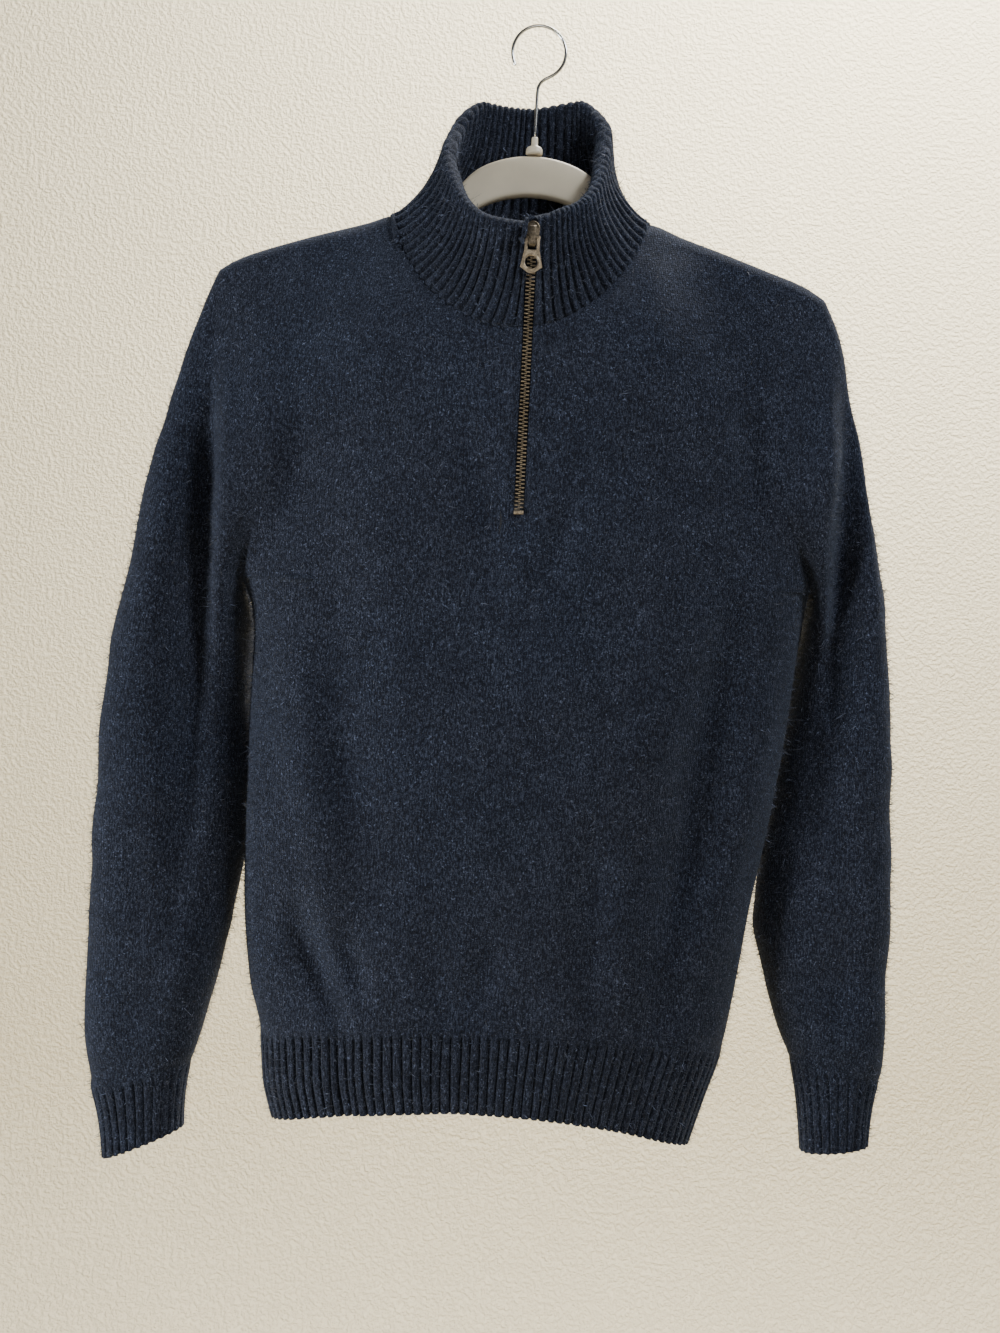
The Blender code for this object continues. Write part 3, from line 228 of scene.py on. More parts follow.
# ---- Folds: soft troughs pressed into the cloth, or ridges where the depth is negative -----------
FOLD_STRENGTH = 1.3       # how much deeper the body's folds are below the zip
FOLDS_DEEPEN_Z = -0.36    # the height from which they deepen
FOLD_PIECES = 24          # steps in which a fold's curve is followed
BODY_FOLDS = (
    # face,   x and height of three points along it,             depth,   half-width left and right
    ("front", (-0.148, -0.600), (-0.132, -0.655), (-0.118, -0.690), 0.0060, 0.016, 0.016),
    ("front", (0.150, -0.420), (0.120, -0.530), (0.098, -0.690), 0.0080, 0.026, 0.026),
    ("back", (-0.120, -0.300), (-0.095, -0.450), (-0.100, -0.600), 0.0090, 0.026, 0.026),
    ("back", (0.110, -0.340), (0.125, -0.500), (0.100, -0.640), 0.0080, 0.028, 0.028),
    # small creases
    ("front", (-0.160, -0.420), (-0.140, -0.490), (-0.112, -0.590), -0.0080, 0.013, 0.020),
    ("front", (-0.124, -0.400), (-0.108, -0.500), (-0.086, -0.600), 0.0058, 0.016, 0.024),
    ("front", (-0.136, -0.612), (-0.118, -0.650), (-0.097, -0.688), 0.0087, 0.008, 0.010),
    ("front", (-0.102, -0.628), (-0.094, -0.646), (-0.084, -0.664), 0.0058, 0.007, 0.008),
    ("front", (-0.046, -0.632), (-0.034, -0.652), (-0.026, -0.676), 0.0046, 0.012, 0.013),
    ("front", (0.006, -0.622), (-0.008, -0.644), (-0.014, -0.668), 0.0041, 0.012, 0.012),
    ("front", (0.152, -0.375), (0.127, -0.500), (0.115, -0.670), 0.0075, 0.014, 0.018),
    ("front", (0.187, -0.410), (0.172, -0.505), (0.158, -0.600), -0.0043, 0.011, 0.010),
    ("front", (0.066, -0.560), (0.062, -0.610), (0.070, -0.665), 0.0043, 0.016, 0.014),
    ("front", (-0.041, -0.280), (-0.025, -0.325), (-0.008, -0.364), 0.0058, 0.012, 0.008),
    ("front", (0.040, -0.322), (0.031, -0.350), (0.022, -0.374), 0.0049, 0.008, 0.011),
    ("front", (0.003, -0.350), (0.003, -0.366), (0.004, -0.392), -0.0038, 0.010, 0.010),
    ("front", (0.000, -0.338), (0.002, -0.348), (0.006, -0.356), 0.0043, 0.009, 0.008),
    ("front", (-0.048, -0.196), (-0.036, -0.216), (-0.018, -0.244), 0.0061, 0.012, 0.012),
    ("front", (-0.166, -0.262), (-0.158, -0.290), (-0.146, -0.322), 0.0058, 0.010, 0.018),
    ("front", (0.168, -0.250), (0.160, -0.290), (0.158, -0.330), 0.0058, 0.018, 0.010),
    ("front", (-0.150, -0.350), (-0.128, -0.372), (-0.100, -0.386), 0.0038, 0.016, 0.020),
    ("front", (0.160, -0.352), (0.140, -0.374), (0.118, -0.384), 0.0043, 0.018, 0.014),
    ("back", (-0.060, -0.215), (-0.020, -0.236), (0.040, -0.240), 0.0052, 0.018, 0.020),
    ("back", (-0.155, -0.330), (-0.130, -0.372), (-0.100, -0.400), 0.0064, 0.014, 0.018),
    ("back", (0.158, -0.320), (0.138, -0.362), (0.110, -0.392), 0.0058, 0.018, 0.014),
    ("back", (-0.020, -0.420), (-0.030, -0.520), (-0.016, -0.640), 0.0049, 0.024, 0.018),
    ("back", (0.052, -0.560), (0.064, -0.610), (0.058, -0.670), 0.0058, 0.014, 0.012),
    ("back", (-0.080, -0.630), (-0.074, -0.655), (-0.082, -0.682), 0.0052, 0.010, 0.012),
)
SLEEVE_FOLDS = {
    "left": (
        ("front", (-0.2130, -0.235), (-0.2080, -0.320), (-0.2110, -0.470), 0.0260, 0.022, 0.008),
        ("back", (-0.2350, -0.300), (-0.2250, -0.430), (-0.2300, -0.560), 0.0100, 0.014, 0.014),
        ("front", (-0.2130, -0.440), (-0.2060, -0.520), (-0.2160, -0.610), 0.0080, 0.014, 0.010),
        ("front", (-0.2100, -0.210), (-0.1980, -0.240), (-0.1880, -0.276), 0.0060, 0.010, 0.008),
        ("front", (-0.2010, -0.388), (-0.1930, -0.412), (-0.1890, -0.455), -0.0090, 0.009, 0.010),
        ("front", (-0.2420, -0.560), (-0.2380, -0.640), (-0.2460, -0.700), 0.0030, 0.014, 0.010),
        ("front", (-0.2180, -0.640), (-0.2260, -0.668), (-0.2400, -0.682), 0.0030, 0.008, 0.010),
        ("back", (-0.2050, -0.400), (-0.2150, -0.430), (-0.2350, -0.452), 0.0050, 0.010, 0.012),
        ("back", (-0.2050, -0.620), (-0.2200, -0.650), (-0.2420, -0.664), 0.0040, 0.010, 0.012),
    ),
    "right": (
        ("front", (0.2250, -0.225), (0.2240, -0.320), (0.2200, -0.450), 0.0260, 0.008, 0.016),
        ("back", (0.2200, -0.300), (0.2150, -0.430), (0.2200, -0.560), 0.0100, 0.014, 0.014),
        ("front", (0.2080, -0.230), (0.2090, -0.300), (0.2090, -0.385), -0.0040, 0.012, 0.006),
        ("front", (0.2180, -0.430), (0.2150, -0.500), (0.2120, -0.570), 0.0060, 0.010, 0.014),
        ("front", (0.2010, -0.236), (0.1960, -0.262), (0.1930, -0.292), 0.0040, 0.009, 0.010),
        ("front", (0.2080, -0.384), (0.2120, -0.397), (0.2060, -0.412), -0.0070, 0.008, 0.006),
        ("front", (0.2380, -0.560), (0.2330, -0.620), (0.2400, -0.680), 0.0030, 0.010, 0.014),
        ("front", (0.2180, -0.626), (0.2280, -0.648), (0.2420, -0.656), 0.0030, 0.009, 0.010),
        ("back", (0.2300, -0.400), (0.2180, -0.428), (0.2060, -0.440), 0.0050, 0.012, 0.010),
        ("back", (0.2440, -0.610), (0.2260, -0.640), (0.2120, -0.650), 0.0040, 0.012, 0.010),
    ),
}


# ---- Curves and shares; places may be single numbers or whole arrays -----------------------------
def through(table, at, column=1):
    """A smooth curve through a table's column, without overshoot, read at its first column."""
    keys = np.array([row[0] for row in table])
    values = np.array([row[column] for row in table])
    steps = np.diff(keys)
    slopes = np.diff(values) / steps
    before, after = slopes[:-1], slopes[1:]
    total = np.where(before + after == 0.0, 1.0, before + after)
    inner = np.where(before * after > 0.0, 2.0 * before * after / total, 0.0)
    tangents = np.concatenate([slopes[:1], inner, slopes[-1:]])
    at = np.clip(at, keys[0], keys[-1])
    i = np.clip(np.searchsorted(keys, at, side="right") - 1, 0, len(steps) - 1)
    t = (at - keys[i]) / steps[i]
    a, b = values[i], values[i + 1]
    lift = tangents[i] * steps[i] * t * (1 - t) ** 2
    lift = lift - tangents[i + 1] * steps[i] * t * t * (1 - t)
    return a + (b - a) * t * t * (3 - 2 * t) + lift


def mix(a, b, share):
    return a + (b - a) * share


def eased(share):
    share = np.clip(share, 0.0, 1.0)
    return share * share * (3.0 - 2.0 * share)


def quarter_round(share):
    """Rises from 0 like the side of a circle and is 1 from share 1 on."""
    share = np.clip(share, 0.0, 1.0)
    return np.sqrt(1.0 - (1.0 - share) ** 2)


def folds_at(x, z, folds, face):
    """How deep the folds of one face are at each place: grooves along curves of three points."""
    total = np.zeros(np.broadcast(x, z).shape)
    for fold_face, start, middle, end, depth, left_width, right_width in folds:
        if fold_face != face:
            continue
        best = np.zeros(total.shape)
        for t in np.linspace(0.0, 1.0, FOLD_PIECES + 1):
            away_x = x - (start[0] * (1 - t) ** 2 + 2 * middle[0] * t * (1 - t) + end[0] * t * t)
            away_z = z - (start[1] * (1 - t) ** 2 + 2 * middle[1] * t * (1 - t) + end[1] * t * t)
            width = np.where(away_x < 0.0, left_width, right_width)
            reach = np.hypot(away_x, away_z * 0.5) / width
            swell = math.sin(math.pi * (0.08 + 0.84 * t))
            best = np.maximum(best, swell * np.exp(-reach * reach))
        total = total + depth * best
    return total


# ---- The body's outer face -----------------------------------------------------------------------
def neck_share(x, drop=0.0):
    """0 at the edges of the neck opening and 1 in its middle; it widens down the panel."""
    return np.maximum(0.0, 1.0 - ((x - NECK_X) / (NECK_HALF + NECK_SPREAD * drop)) ** 2)


def top_of_panel(x, face):
    """Height of a panel's upper edge: the shoulder seam, and the neckline between."""
    inside = neck_share(x)
    if face == "front":
        return through(SHOULDERS, x) - NECK_DROP * inside ** NECK_DROP_POWER
    return through(SHOULDERS, x) + NECK_LIFT_BACK * inside


def side_top(side):
    return SHOULDERS[0][0] if side < 0 else SHOULDERS[-1][0]


def side_tables(side):
    return (LEFT_EDGE, LEFT_ARMHOLE) if side < 0 else (RIGHT_EDGE, RIGHT_ARMHOLE)


def side_edge(side, lower, upper):
    """Where the side seam (lower part) or the armhole seam (upper part) is in a row: x and z."""
    edge, armhole = side_tables(side)
    high = mix(armhole[0][0], armhole[-1][0], upper)
    low = mix(edge[2][0], edge[-1][0], lower)
    above = upper > 0.0
    return (np.where(above, through(armhole, high), through(edge, low)),
            np.where(above, high, low))


def armhole_depth(share, upper, face):
    """Half-depth that the armhole gives a row: round at the seam itself, and softer inside it."""
    full = ARMHOLE_FRONT if face == "front" else ARMHOLE_BACK
    at_seam = full * quarter_round(upper / ARMHOLE_ROUND)
    inside = full * eased(upper / (1.4 * ARMHOLE_ROUND))
    return mix(inside, at_seam, share ** 16) * share ** 6


def depth_of_cloth(share, upper, drop, x, z, face):
    """How far the cloth stands in front of or behind the hanger's plane."""
    full = through(DEPTHS, z, 1 if face == "front" else 2)
    sharpness = mix(2.0, 1.35, eased(upper / 0.4))
    across = np.maximum(0.0, 1.0 - share ** 2.6) ** (1.0 / sharpness)
    regular = full * across + armhole_depth(share, upper, face)
    below_shoulder = through(SHOULDERS, x) - z
    over_hanger = FOLD_RADIUS * quarter_round(below_shoulder / FOLD_RADIUS)
    if face == "front":
        out = np.clip((abs(x - NECK_X) - NECK_HALF) / 0.11, 0.0, 1.0)
        reach = mix(DRAPE_NECK, DRAPE_SHOULDER, eased(out))
        gained = 1.0 - np.maximum(0.0, 1.0 - below_shoulder / reach) ** 2
        depth = regular * gained + over_hanger * (1.0 - gained) ** 2
    else:
        top = np.maximum(NECK_BACK * np.sqrt(neck_share(x, drop)), over_hanger)
        depth = mix(regular, top, np.maximum(0.0, 1.0 - drop / DRAPE_SHOULDER) ** 2)
    clear_of_edge = (1.0 - share ** 6) * np.clip(drop / 0.03, 0.0, 1.0)
    strength = mix(1.0, FOLD_STRENGTH, eased((FOLDS_DEEPEN_Z - z) / 0.08))
    return depth - strength * folds_at(x, z, BODY_FOLDS, face) * clear_of_edge


def body_points(side, share, lower, upper, face):
    """Points on the outer face of the front or the back, for arrays of places on it."""
    share, lower, upper = np.broadcast_arrays(share, lower, upper)
    edge_x, edge_z = side_edge(side, lower, upper)
    other_z = side_edge(-side, lower, upper)[1]
    middle = through(MIDLINE, 0.5 * (edge_z + other_z))
    inner = SLIT_HALF if face == "front" else 0.0
    x = middle + side * (inner + share * (abs(edge_x - middle) - inner))
    shoulder_x = ZIP_X + side * (inner + share * (abs(side_top(side) - ZIP_X) - inner))
    top_z = top_of_panel(shoulder_x, face)
    underarm, across = side_tables(side)[0][-1][0], side_tables(-side)[0][-1][0]
    level_z = mix(0.5 * (underarm + across), underarm, share)
    rise = HEM_RISE_FRONT if face == "front" else HEM_RISE_BACK
    hem_middle = 0.5 * (LEFT_EDGE[2][0] + RIGHT_EDGE[2][0]) + rise
    hem_z = mix(hem_middle, side_tables(side)[0][2][0], share ** 2)
    z = np.where(upper > 0.0, mix(level_z, top_z, upper), mix(hem_z, level_z, lower))
    drop = top_z - z
    neck_x = mix(shoulder_x, x, np.clip(drop / 0.05, 0.0, 1.0))
    y = depth_of_cloth(share, upper, drop, neck_x, z, face)
    return np.stack([x, -y if face == "front" else y, z], axis=-1)


def panel_shares(side, face, near, far):
    """Columns of half a panel: shares of the way from its middle to its side edge."""
    inner = SLIT_HALF if face == "front" else 0.0
    reach = abs(side_top(side) - ZIP_X) - inner
    start = math.acos((ZIP_X + side * inner - NECK_X) / (side * NECK_HALF))
    x = NECK_X + side * NECK_HALF * np.cos(start * (1.0 - np.linspace(0.0, 1.0, near + 1)))
    shares = np.maximum(0.0, (abs(x - ZIP_X) - inner) / reach)
    beyond = np.sin(np.linspace(0.0, math.pi / 2, far + 1)[1:])
    return np.concatenate([shares, mix(shares[-1], 1.0, beyond)])


def panel_rows(low, high):
    """Rows of a panel from the rib up: shares of its lower part and of its armhole."""
    lower = np.concatenate([np.linspace(0.0, 1.0, low + 1)[:-1], np.ones(high + 1)])
    turn = np.linspace(0.0, math.pi, high + 1)
    upper = np.concatenate([np.zeros(low), 0.5 - 0.5 * np.cos(turn)])
    return lower, upper


def panel_grid(face, near, far, low, high):
    """A panel's points, its columns from left to right, and the column where its middle is."""
    lower, upper = panel_rows(low, high)
    left, right = (panel_shares(side, face, near, far) for side in (-1, 1))
    even = np.linspace(0.0, 1.0, len(left))
    close = eased((upper - 0.55) / 0.45)[:, None] ** 2
    halves = []
    for side, shares, spread in ((-1, left[::-1], even[::-1]), (1, right, even)):
        shares = mix(spread[None, :], shares[None, :], close)
        half = body_points(side, shares, lower[:, None], upper[:, None], face)
        inner, seam = (body_points(side, np.full((len(upper), 1), at), lower[:, None],
                                   upper[:, None], face) for at in (SEAM_FROM, 1.0))
        near_seam = np.clip((shares - SEAM_FROM) / (1.0 - SEAM_FROM), 0.0, 1.0)
        flush = mix(inner[..., 1], seam[..., 1], near_seam)
        flush = mix(half[..., 1], flush, eased(upper / 0.15)[:, None])
        half[..., 1] = np.where(near_seam > 0.0, flush, half[..., 1])
        halves.append(half)
    if face == "back":
        halves[1] = halves[1][:, 1:]
    return np.concatenate(halves, axis=1), len(left) - 1


# ---- Sleeves, cuffs, hem and collar --------------------------------------------------------------
def armhole_seam(name, angle):
    """The armhole's seam: angle 0 is the underarm, a half turn is the shoulder."""
    side = -1 if name == "left" else 1
    upper = 0.5 - 0.5 * np.cos(angle)
    ones = np.ones(np.shape(upper))
    front = body_points(side, ones, ones, upper, "front")
    back = body_points(side, ones, ones, upper, "back")
    return np.where((np.sin(angle) >= 0.0)[..., None], front, back)


def ring_points(row, angle):
    """Points on flattened rings: angle 0 is the inner edge, a quarter turn on is the front."""
    inner_x, inner_z, outer_x, outer_z, front, back, inner_y, outer_y = row
    along = 0.5 - 0.5 * np.cos(angle)
    deep = np.where(np.sin(angle) > 0.0, front, back)
    across = np.maximum(0.0, 1.0 - abs(np.cos(angle)) ** RING_ROUNDNESS) ** (1 / RING_ROUNDNESS)
    y = mix(inner_y, outer_y, along) - np.sign(np.sin(angle)) * deep * across
    return np.stack([mix(inner_x, outer_x, along), y, mix(inner_z, outer_z, along)], axis=-1)


def sleeve_points(name, place, angle):
    """Points of a sleeve's outer face, from its cuff (place 0) to its armhole."""
    rows = [(float(k),) + row for k, row in enumerate(SLEEVES[name])]
    place, angle = np.broadcast_arrays(place, angle)
    row = [through(rows, place, column) for column in range(1, 9)]
    share = eased((place - SLEEVE_BLEND) / (SLEEVE_PLACES - SLEEVE_BLEND))
    points = mix(ring_points(row, angle), armhole_seam(name, angle), share[..., None])
    for face, sign in (("front", 1.0), ("back", -1.0)):
        fold = folds_at(points[..., 0], points[..., 2], SLEEVE_FOLDS[name], face)
        facing = np.maximum(0.0, sign * np.sin(angle))
        points[..., 1] += sign * fold * facing * (1.0 - share ** 8)
    return points


def cuff_points(name, share, angle):
    """Points of a cuff's outer face, from its open end (share 0) to the sleeve."""
    inner_x, inner_z, outer_x, outer_z, half_depth = CUFFS[name]
    end = (inner_x, inner_z, outer_x, outer_z, half_depth, half_depth, 0.0, 0.0)
    share, angle = np.broadcast_arrays(share, angle)
    points = mix(ring_points(end, angle), sleeve_points(name, np.zeros(angle.shape), angle),
                 share[..., None])
    middle = 0.5 * (inner_x + outer_x)
    waist = 0.05 * np.sin(math.pi * share)
    points[..., 0] = mix(points[..., 0], middle, waist)
    points[..., 1] = mix(points[..., 1], 0.0, waist)
    return points


def evenly(line, count):
    """How far along a line its points are, even steps along it, and the points at those steps."""
    steps = np.linalg.norm(np.diff(line, axis=0), axis=1)
    along = np.concatenate([[0.0], np.cumsum(steps)])
    wanted = np.linspace(0.0, along[-1], count)
    points = np.stack([np.interp(wanted, along, line[:, k]) for k in range(3)], axis=-1)
    return along, wanted, points


def hem_points(face, columns, share):
    """Points of the hem's outer face; share is 0 at the panel and 1 at the hem's lower edge."""
    sides = []
    for side in (-1, 1):
        shares = np.sin(np.linspace(0.0, math.pi / 2, 400))
        shares = shares[::-1] if side < 0 else shares
        zeros = np.zeros(shares.shape)
        sides.append(body_points(side, shares, zeros, zeros, face))
    top = evenly(np.concatenate(sides), columns)[2][None, :, :]
    share = share[:, None]
    x, y, z = top[..., 0], top[..., 1], top[..., 2]
    middle = through(MIDLINE, LEFT_EDGE[2][0])
    result = []
    for side, edge in ((-1, LEFT_EDGE), (1, RIGHT_EDGE)):
        out = abs(x - middle) / abs(edge[2][1] - middle)
        tall = mix(HEM_DROP_MIDDLE, HEM_DROP_LEFT if side < 0 else HEM_DROP_RIGHT, out ** 2)
        if face == "back":
            tall = mix(HEM_TALL_BACK, tall, out ** 2)
        edge_z = edge[2][0] - share * (edge[2][0] - edge[0][0])
        narrow = abs(through(edge, edge_z)) / abs(edge[2][1])
        column = 1 if face == "front" else 2
        shallow = through(DEPTHS, edge_z, column) / through(DEPTHS, edge[2][0], column)
        result.append(np.stack([x * narrow, y * shallow, z - tall * share], axis=-1))
    return np.where((x < middle)[..., None], result[0], result[1])


def neckline(count):
    """The collar's seam, from the zip's left side round the back to its right side, with angles."""
    line, turns = [], []
    for side, face in ((-1, "front"), (-1, "back"), (1, "back"), (1, "front")):
        shares = panel_shares(side, face, 200, 4)[:201]
        if (face == "back") == (side < 0):
            shares = shares[::-1]
        ones = np.ones(shares.shape)
        points = body_points(side, shares, ones, ones, face)
        turn = np.degrees(np.arcsin(np.clip((NECK_X - points[:, 0]) / NECK_HALF, -1.0, 1.0)))
        if face == "back":
            turn = 180.0 - turn
        elif side > 0:
            turn = turn + 360.0
        line.append(points)
        turns.append(turn)
    line, turns = np.concatenate(line), np.concatenate(turns)
    along, wanted, base = evenly(line, count)
    return base, np.interp(wanted, along, turns), along[-1]


def collar_face(columns, climb):
    """The collar's outer face, from its seam up to its rim."""
    base, turn = neckline(columns)[:2]
    rim = np.stack([through(RIM, turn, k) for k in (1, 2, 3)], axis=-1)
    ends = np.minimum(np.arange(columns), np.arange(columns)[::-1]) / (0.03 * columns)
    hold = 1.0 - eased(ends)
    rim[:, 0] = mix(rim[:, 0], np.where(turn < 180.0, base[0, 0], base[-1, 0]), hold)
    share = np.linspace(0.0, 1.0, climb + 1)[:, None, None]
    across, up = 1.0 - (1.0 - share) ** COLLAR_FLARE, share ** COLLAR_RISE
    return np.concatenate([mix(base[None, :, :2], rim[None, :, :2], across),
                           mix(base[None, :, 2:], rim[None, :, 2:], up)], axis=-1)


# ---- Making grids into pieces --------------------------------------------------------------------
RIB_WAVES = (
    # how many go round, how far they shift a rib, how they turn up its length
    (3, 0.050, 1.2),
    (8, 0.040, -2.1),
    (19, 0.035, 3.0),
    (31, 0.030, -4.0),
)


def grid_normals(points, wrap=False, flip=False):
    """Outward normals of a grid of points whose columns run round and rows run upwards."""
    if wrap:
        around = np.roll(points[:, :-1], -1, axis=1) - np.roll(points[:, :-1], 1, axis=1)
        around = np.concatenate([around, around[:, :1]], axis=1)
    else:
        around = np.gradient(points, axis=1)
    normals = np.cross(around, np.gradient(points, axis=0))
    normals /= np.maximum(np.linalg.norm(normals, axis=-1, keepdims=True), 1e-12)
    return -normals if flip else normals


def lengths_along(points, axis):
    """How far along a row (axis 1) or a column (axis 0) each point of a grid is."""
    steps = np.linalg.norm(np.diff(points, axis=axis), axis=-1)
    start = np.zeros_like(np.take(steps, [0], axis=axis))
    return np.concatenate([start, np.cumsum(steps, axis=axis)], axis=axis)


def unevenness(points, normals, size, amount, seed):
    """Moves points gently in and out, as cloth that was never pressed flat."""
    shape = points.shape[:-1]
    moved = [noise.noise(Vector(p) / size + Vector((seed, 0.0, 0.0)))
             for p in points.reshape(-1, 3)]
    return points + normals * (amount * np.array(moved).reshape(shape))[..., None]


def wandering(phase, level, count):
    """Ribs are never quite even: their places shift a little along and up the rib."""
    turn = 2.0 * math.pi * phase / count
    shift = np.zeros(np.broadcast(phase, level).shape)
    for waves, amount, climb in RIB_WAVES:
        shift = shift + amount * np.sin(waves * turn + climb * level + waves)
    return phase + shift


def rib_profile(phase, valley):
    """Height of the ribs: 0 in the narrow valleys, at whole numbers, and 1 on the wide crests."""
    away = abs(phase - np.round(phase))
    crown = 0.82 + 0.18 * np.sin(math.pi * away)
    return crown * (1.0 - np.exp(-(away / valley) ** 2))


def grid_piece(name, points, uv, material, wrap=False, flip=False, wall=None, leave_out=None,
               valleys=None):
    """An object from a grid of points with a UV map in metres, a wall thickness inwards, and
    painted valley shade.
    """
    rows, columns = points.shape[:2]
    bm = bmesh.new()
    # The valley attribute holds painted shade: how much darker the wool is painted between ribs.
    deep = bm.verts.layers.float.new("valley")
    bmesh.ops.create_grid(bm, x_segments=columns - 1, y_segments=rows - 1, size=0.5)
    bm.verts.ensure_lookup_table()
    spots = [(round((v.co.y + 0.5) * (rows - 1)), round((v.co.x + 0.5) * (columns - 1)))
             for v in bm.verts]
    for vert, spot in zip(bm.verts, spots):
        vert.co = points[spot]
        vert[deep] = 0.0 if valleys is None else float(valleys[spot])
    layer = bm.loops.layers.uv.new("cloth")
    for face in bm.faces:
        for loop in face.loops:
            loop[layer].uv = uv[spots[loop.vert.index]]
    if leave_out is not None:
        unwanted = [face for face in bm.faces
                    if leave_out(*np.mean([spots[v.index] for v in face.verts], axis=0))]
        bmesh.ops.delete(bm, geom=unwanted, context="FACES")
    if wrap:
        bmesh.ops.remove_doubles(bm, verts=bm.verts, dist=1e-6)
    for edge in bm.edges:
        edge.smooth = not edge.is_boundary
    if flip:
        bmesh.ops.reverse_faces(bm, faces=bm.faces)
    piece = new_piece(name, bm, material)
    if wall:
        shell = piece.modifiers.new("wall", "SOLIDIFY")
        shell.thickness = wall
        shell.offset = -1.0
    return piece


def new_piece(name, bm, material, smooth=True):
    """Turns a bmesh into an object at the origin with one material."""
    for face in bm.faces:
        face.smooth = smooth
    mesh = bpy.data.meshes.new(name)
    bm.to_mesh(mesh)
    bm.free()
    return placed(name, mesh, material)


def placed(name, mesh, material):
    """An object at the origin that shows a mesh in one material."""
    mesh.materials.append(material)
    piece = bpy.data.objects.new(name, mesh)
    bpy.context.scene.collection.objects.link(piece)
    return piece


def drawn_back(points, sides=True):
    """A grid with its open edges moved in by half a seam gap."""
    moved = points.copy()

    def pull(edge, inside):
        way = inside - edge
        length = np.linalg.norm(way, axis=-1, keepdims=True)
        return way * np.minimum(0.5 * SEAM_GAP / np.maximum(length, 1e-9), 0.3)

    moved[0] += pull(points[0], points[1])
    moved[-1] += pull(points[-1], points[-2])
    if sides:
        moved[:, 0] += pull(points[:, 0], points[:, 1])
        moved[:, -1] += pull(points[:, -1], points[:, -2])
    return moved


# ---- Finishes ------------------------------------------------------------------------------------
class Nodes:
    """Short hand for a material's node tree."""

    def __init__(self, name):
        self.material = bpy.data.materials.new(name)
        self.material.use_nodes = True
        self.tree = self.material.node_tree
        self.shader = self.tree.nodes["Principled BSDF"]

    def add(self, kind, **values):
        node = self.tree.nodes.new("ShaderNode" + kind)
        for key, value in values.items():
            setattr(node, key, value)
        return node

    def link(self, source, target):
        self.tree.links.new(source, target)

    def put(self, socket, value):
        """Sets an input to a number or a colour, or links it to an output."""
        if isinstance(value, bpy.types.NodeSocket):
            self.link(value, socket)
        else:
            socket.default_value = value

    def math(self, operation, *values):
        node = self.add("Math", operation=operation)
        for socket, value in zip(node.inputs, values):
            self.put(socket, value)
        return node.outputs[0]

    def noise(self, vector, scale, detail=2.0, roughness=0.5):
        node = self.add("TexNoise")
        self.link(vector, node.inputs["Vector"])
        node.inputs["Scale"].default_value = scale
        node.inputs["Detail"].default_value = detail
        node.inputs["Roughness"].default_value = roughness
        return node.outputs["Fac"]

    def stretched(self, vector, scale):
        node = self.add("Mapping")
        self.link(vector, node.inputs["Vector"])
        node.inputs["Scale"].default_value = scale
        return node.outputs["Vector"]

    def ramp(self, value, stops):
        node = self.add("ValToRGB")
        self.put(node.inputs["Fac"], value)
        elements = node.color_ramp.elements
        while len(elements) < len(stops):
            elements.new(0.5)
        for element, (place, colour) in zip(elements, stops):
            element.position = place
            element.color = (*colour, 1.0)
        return node.outputs["Color"]

    def blend(self, share, first, second, way="MIX"):
        node = self.add("Mix", data_type="RGBA", blend_type=way)
        self.put(node.inputs[0], share)
        for socket, value in ((node.inputs[6], first), (node.inputs[7], second)):
            self.put(socket, (*value, 1.0) if isinstance(value, tuple) else value)
        return node.outputs[2]

    def bump(self, height, distance, strength=1.0, after=None):
        node = self.add("Bump")
        self.put(node.inputs["Height"], height)
        node.inputs["Distance"].default_value = distance
        node.inputs["Strength"].default_value = strength
        if after is not None:
            self.link(after, node.inputs["Normal"])
        return node.outputs["Normal"]

    def set(self, name, value):
        self.put(self.shader.inputs[name], value)


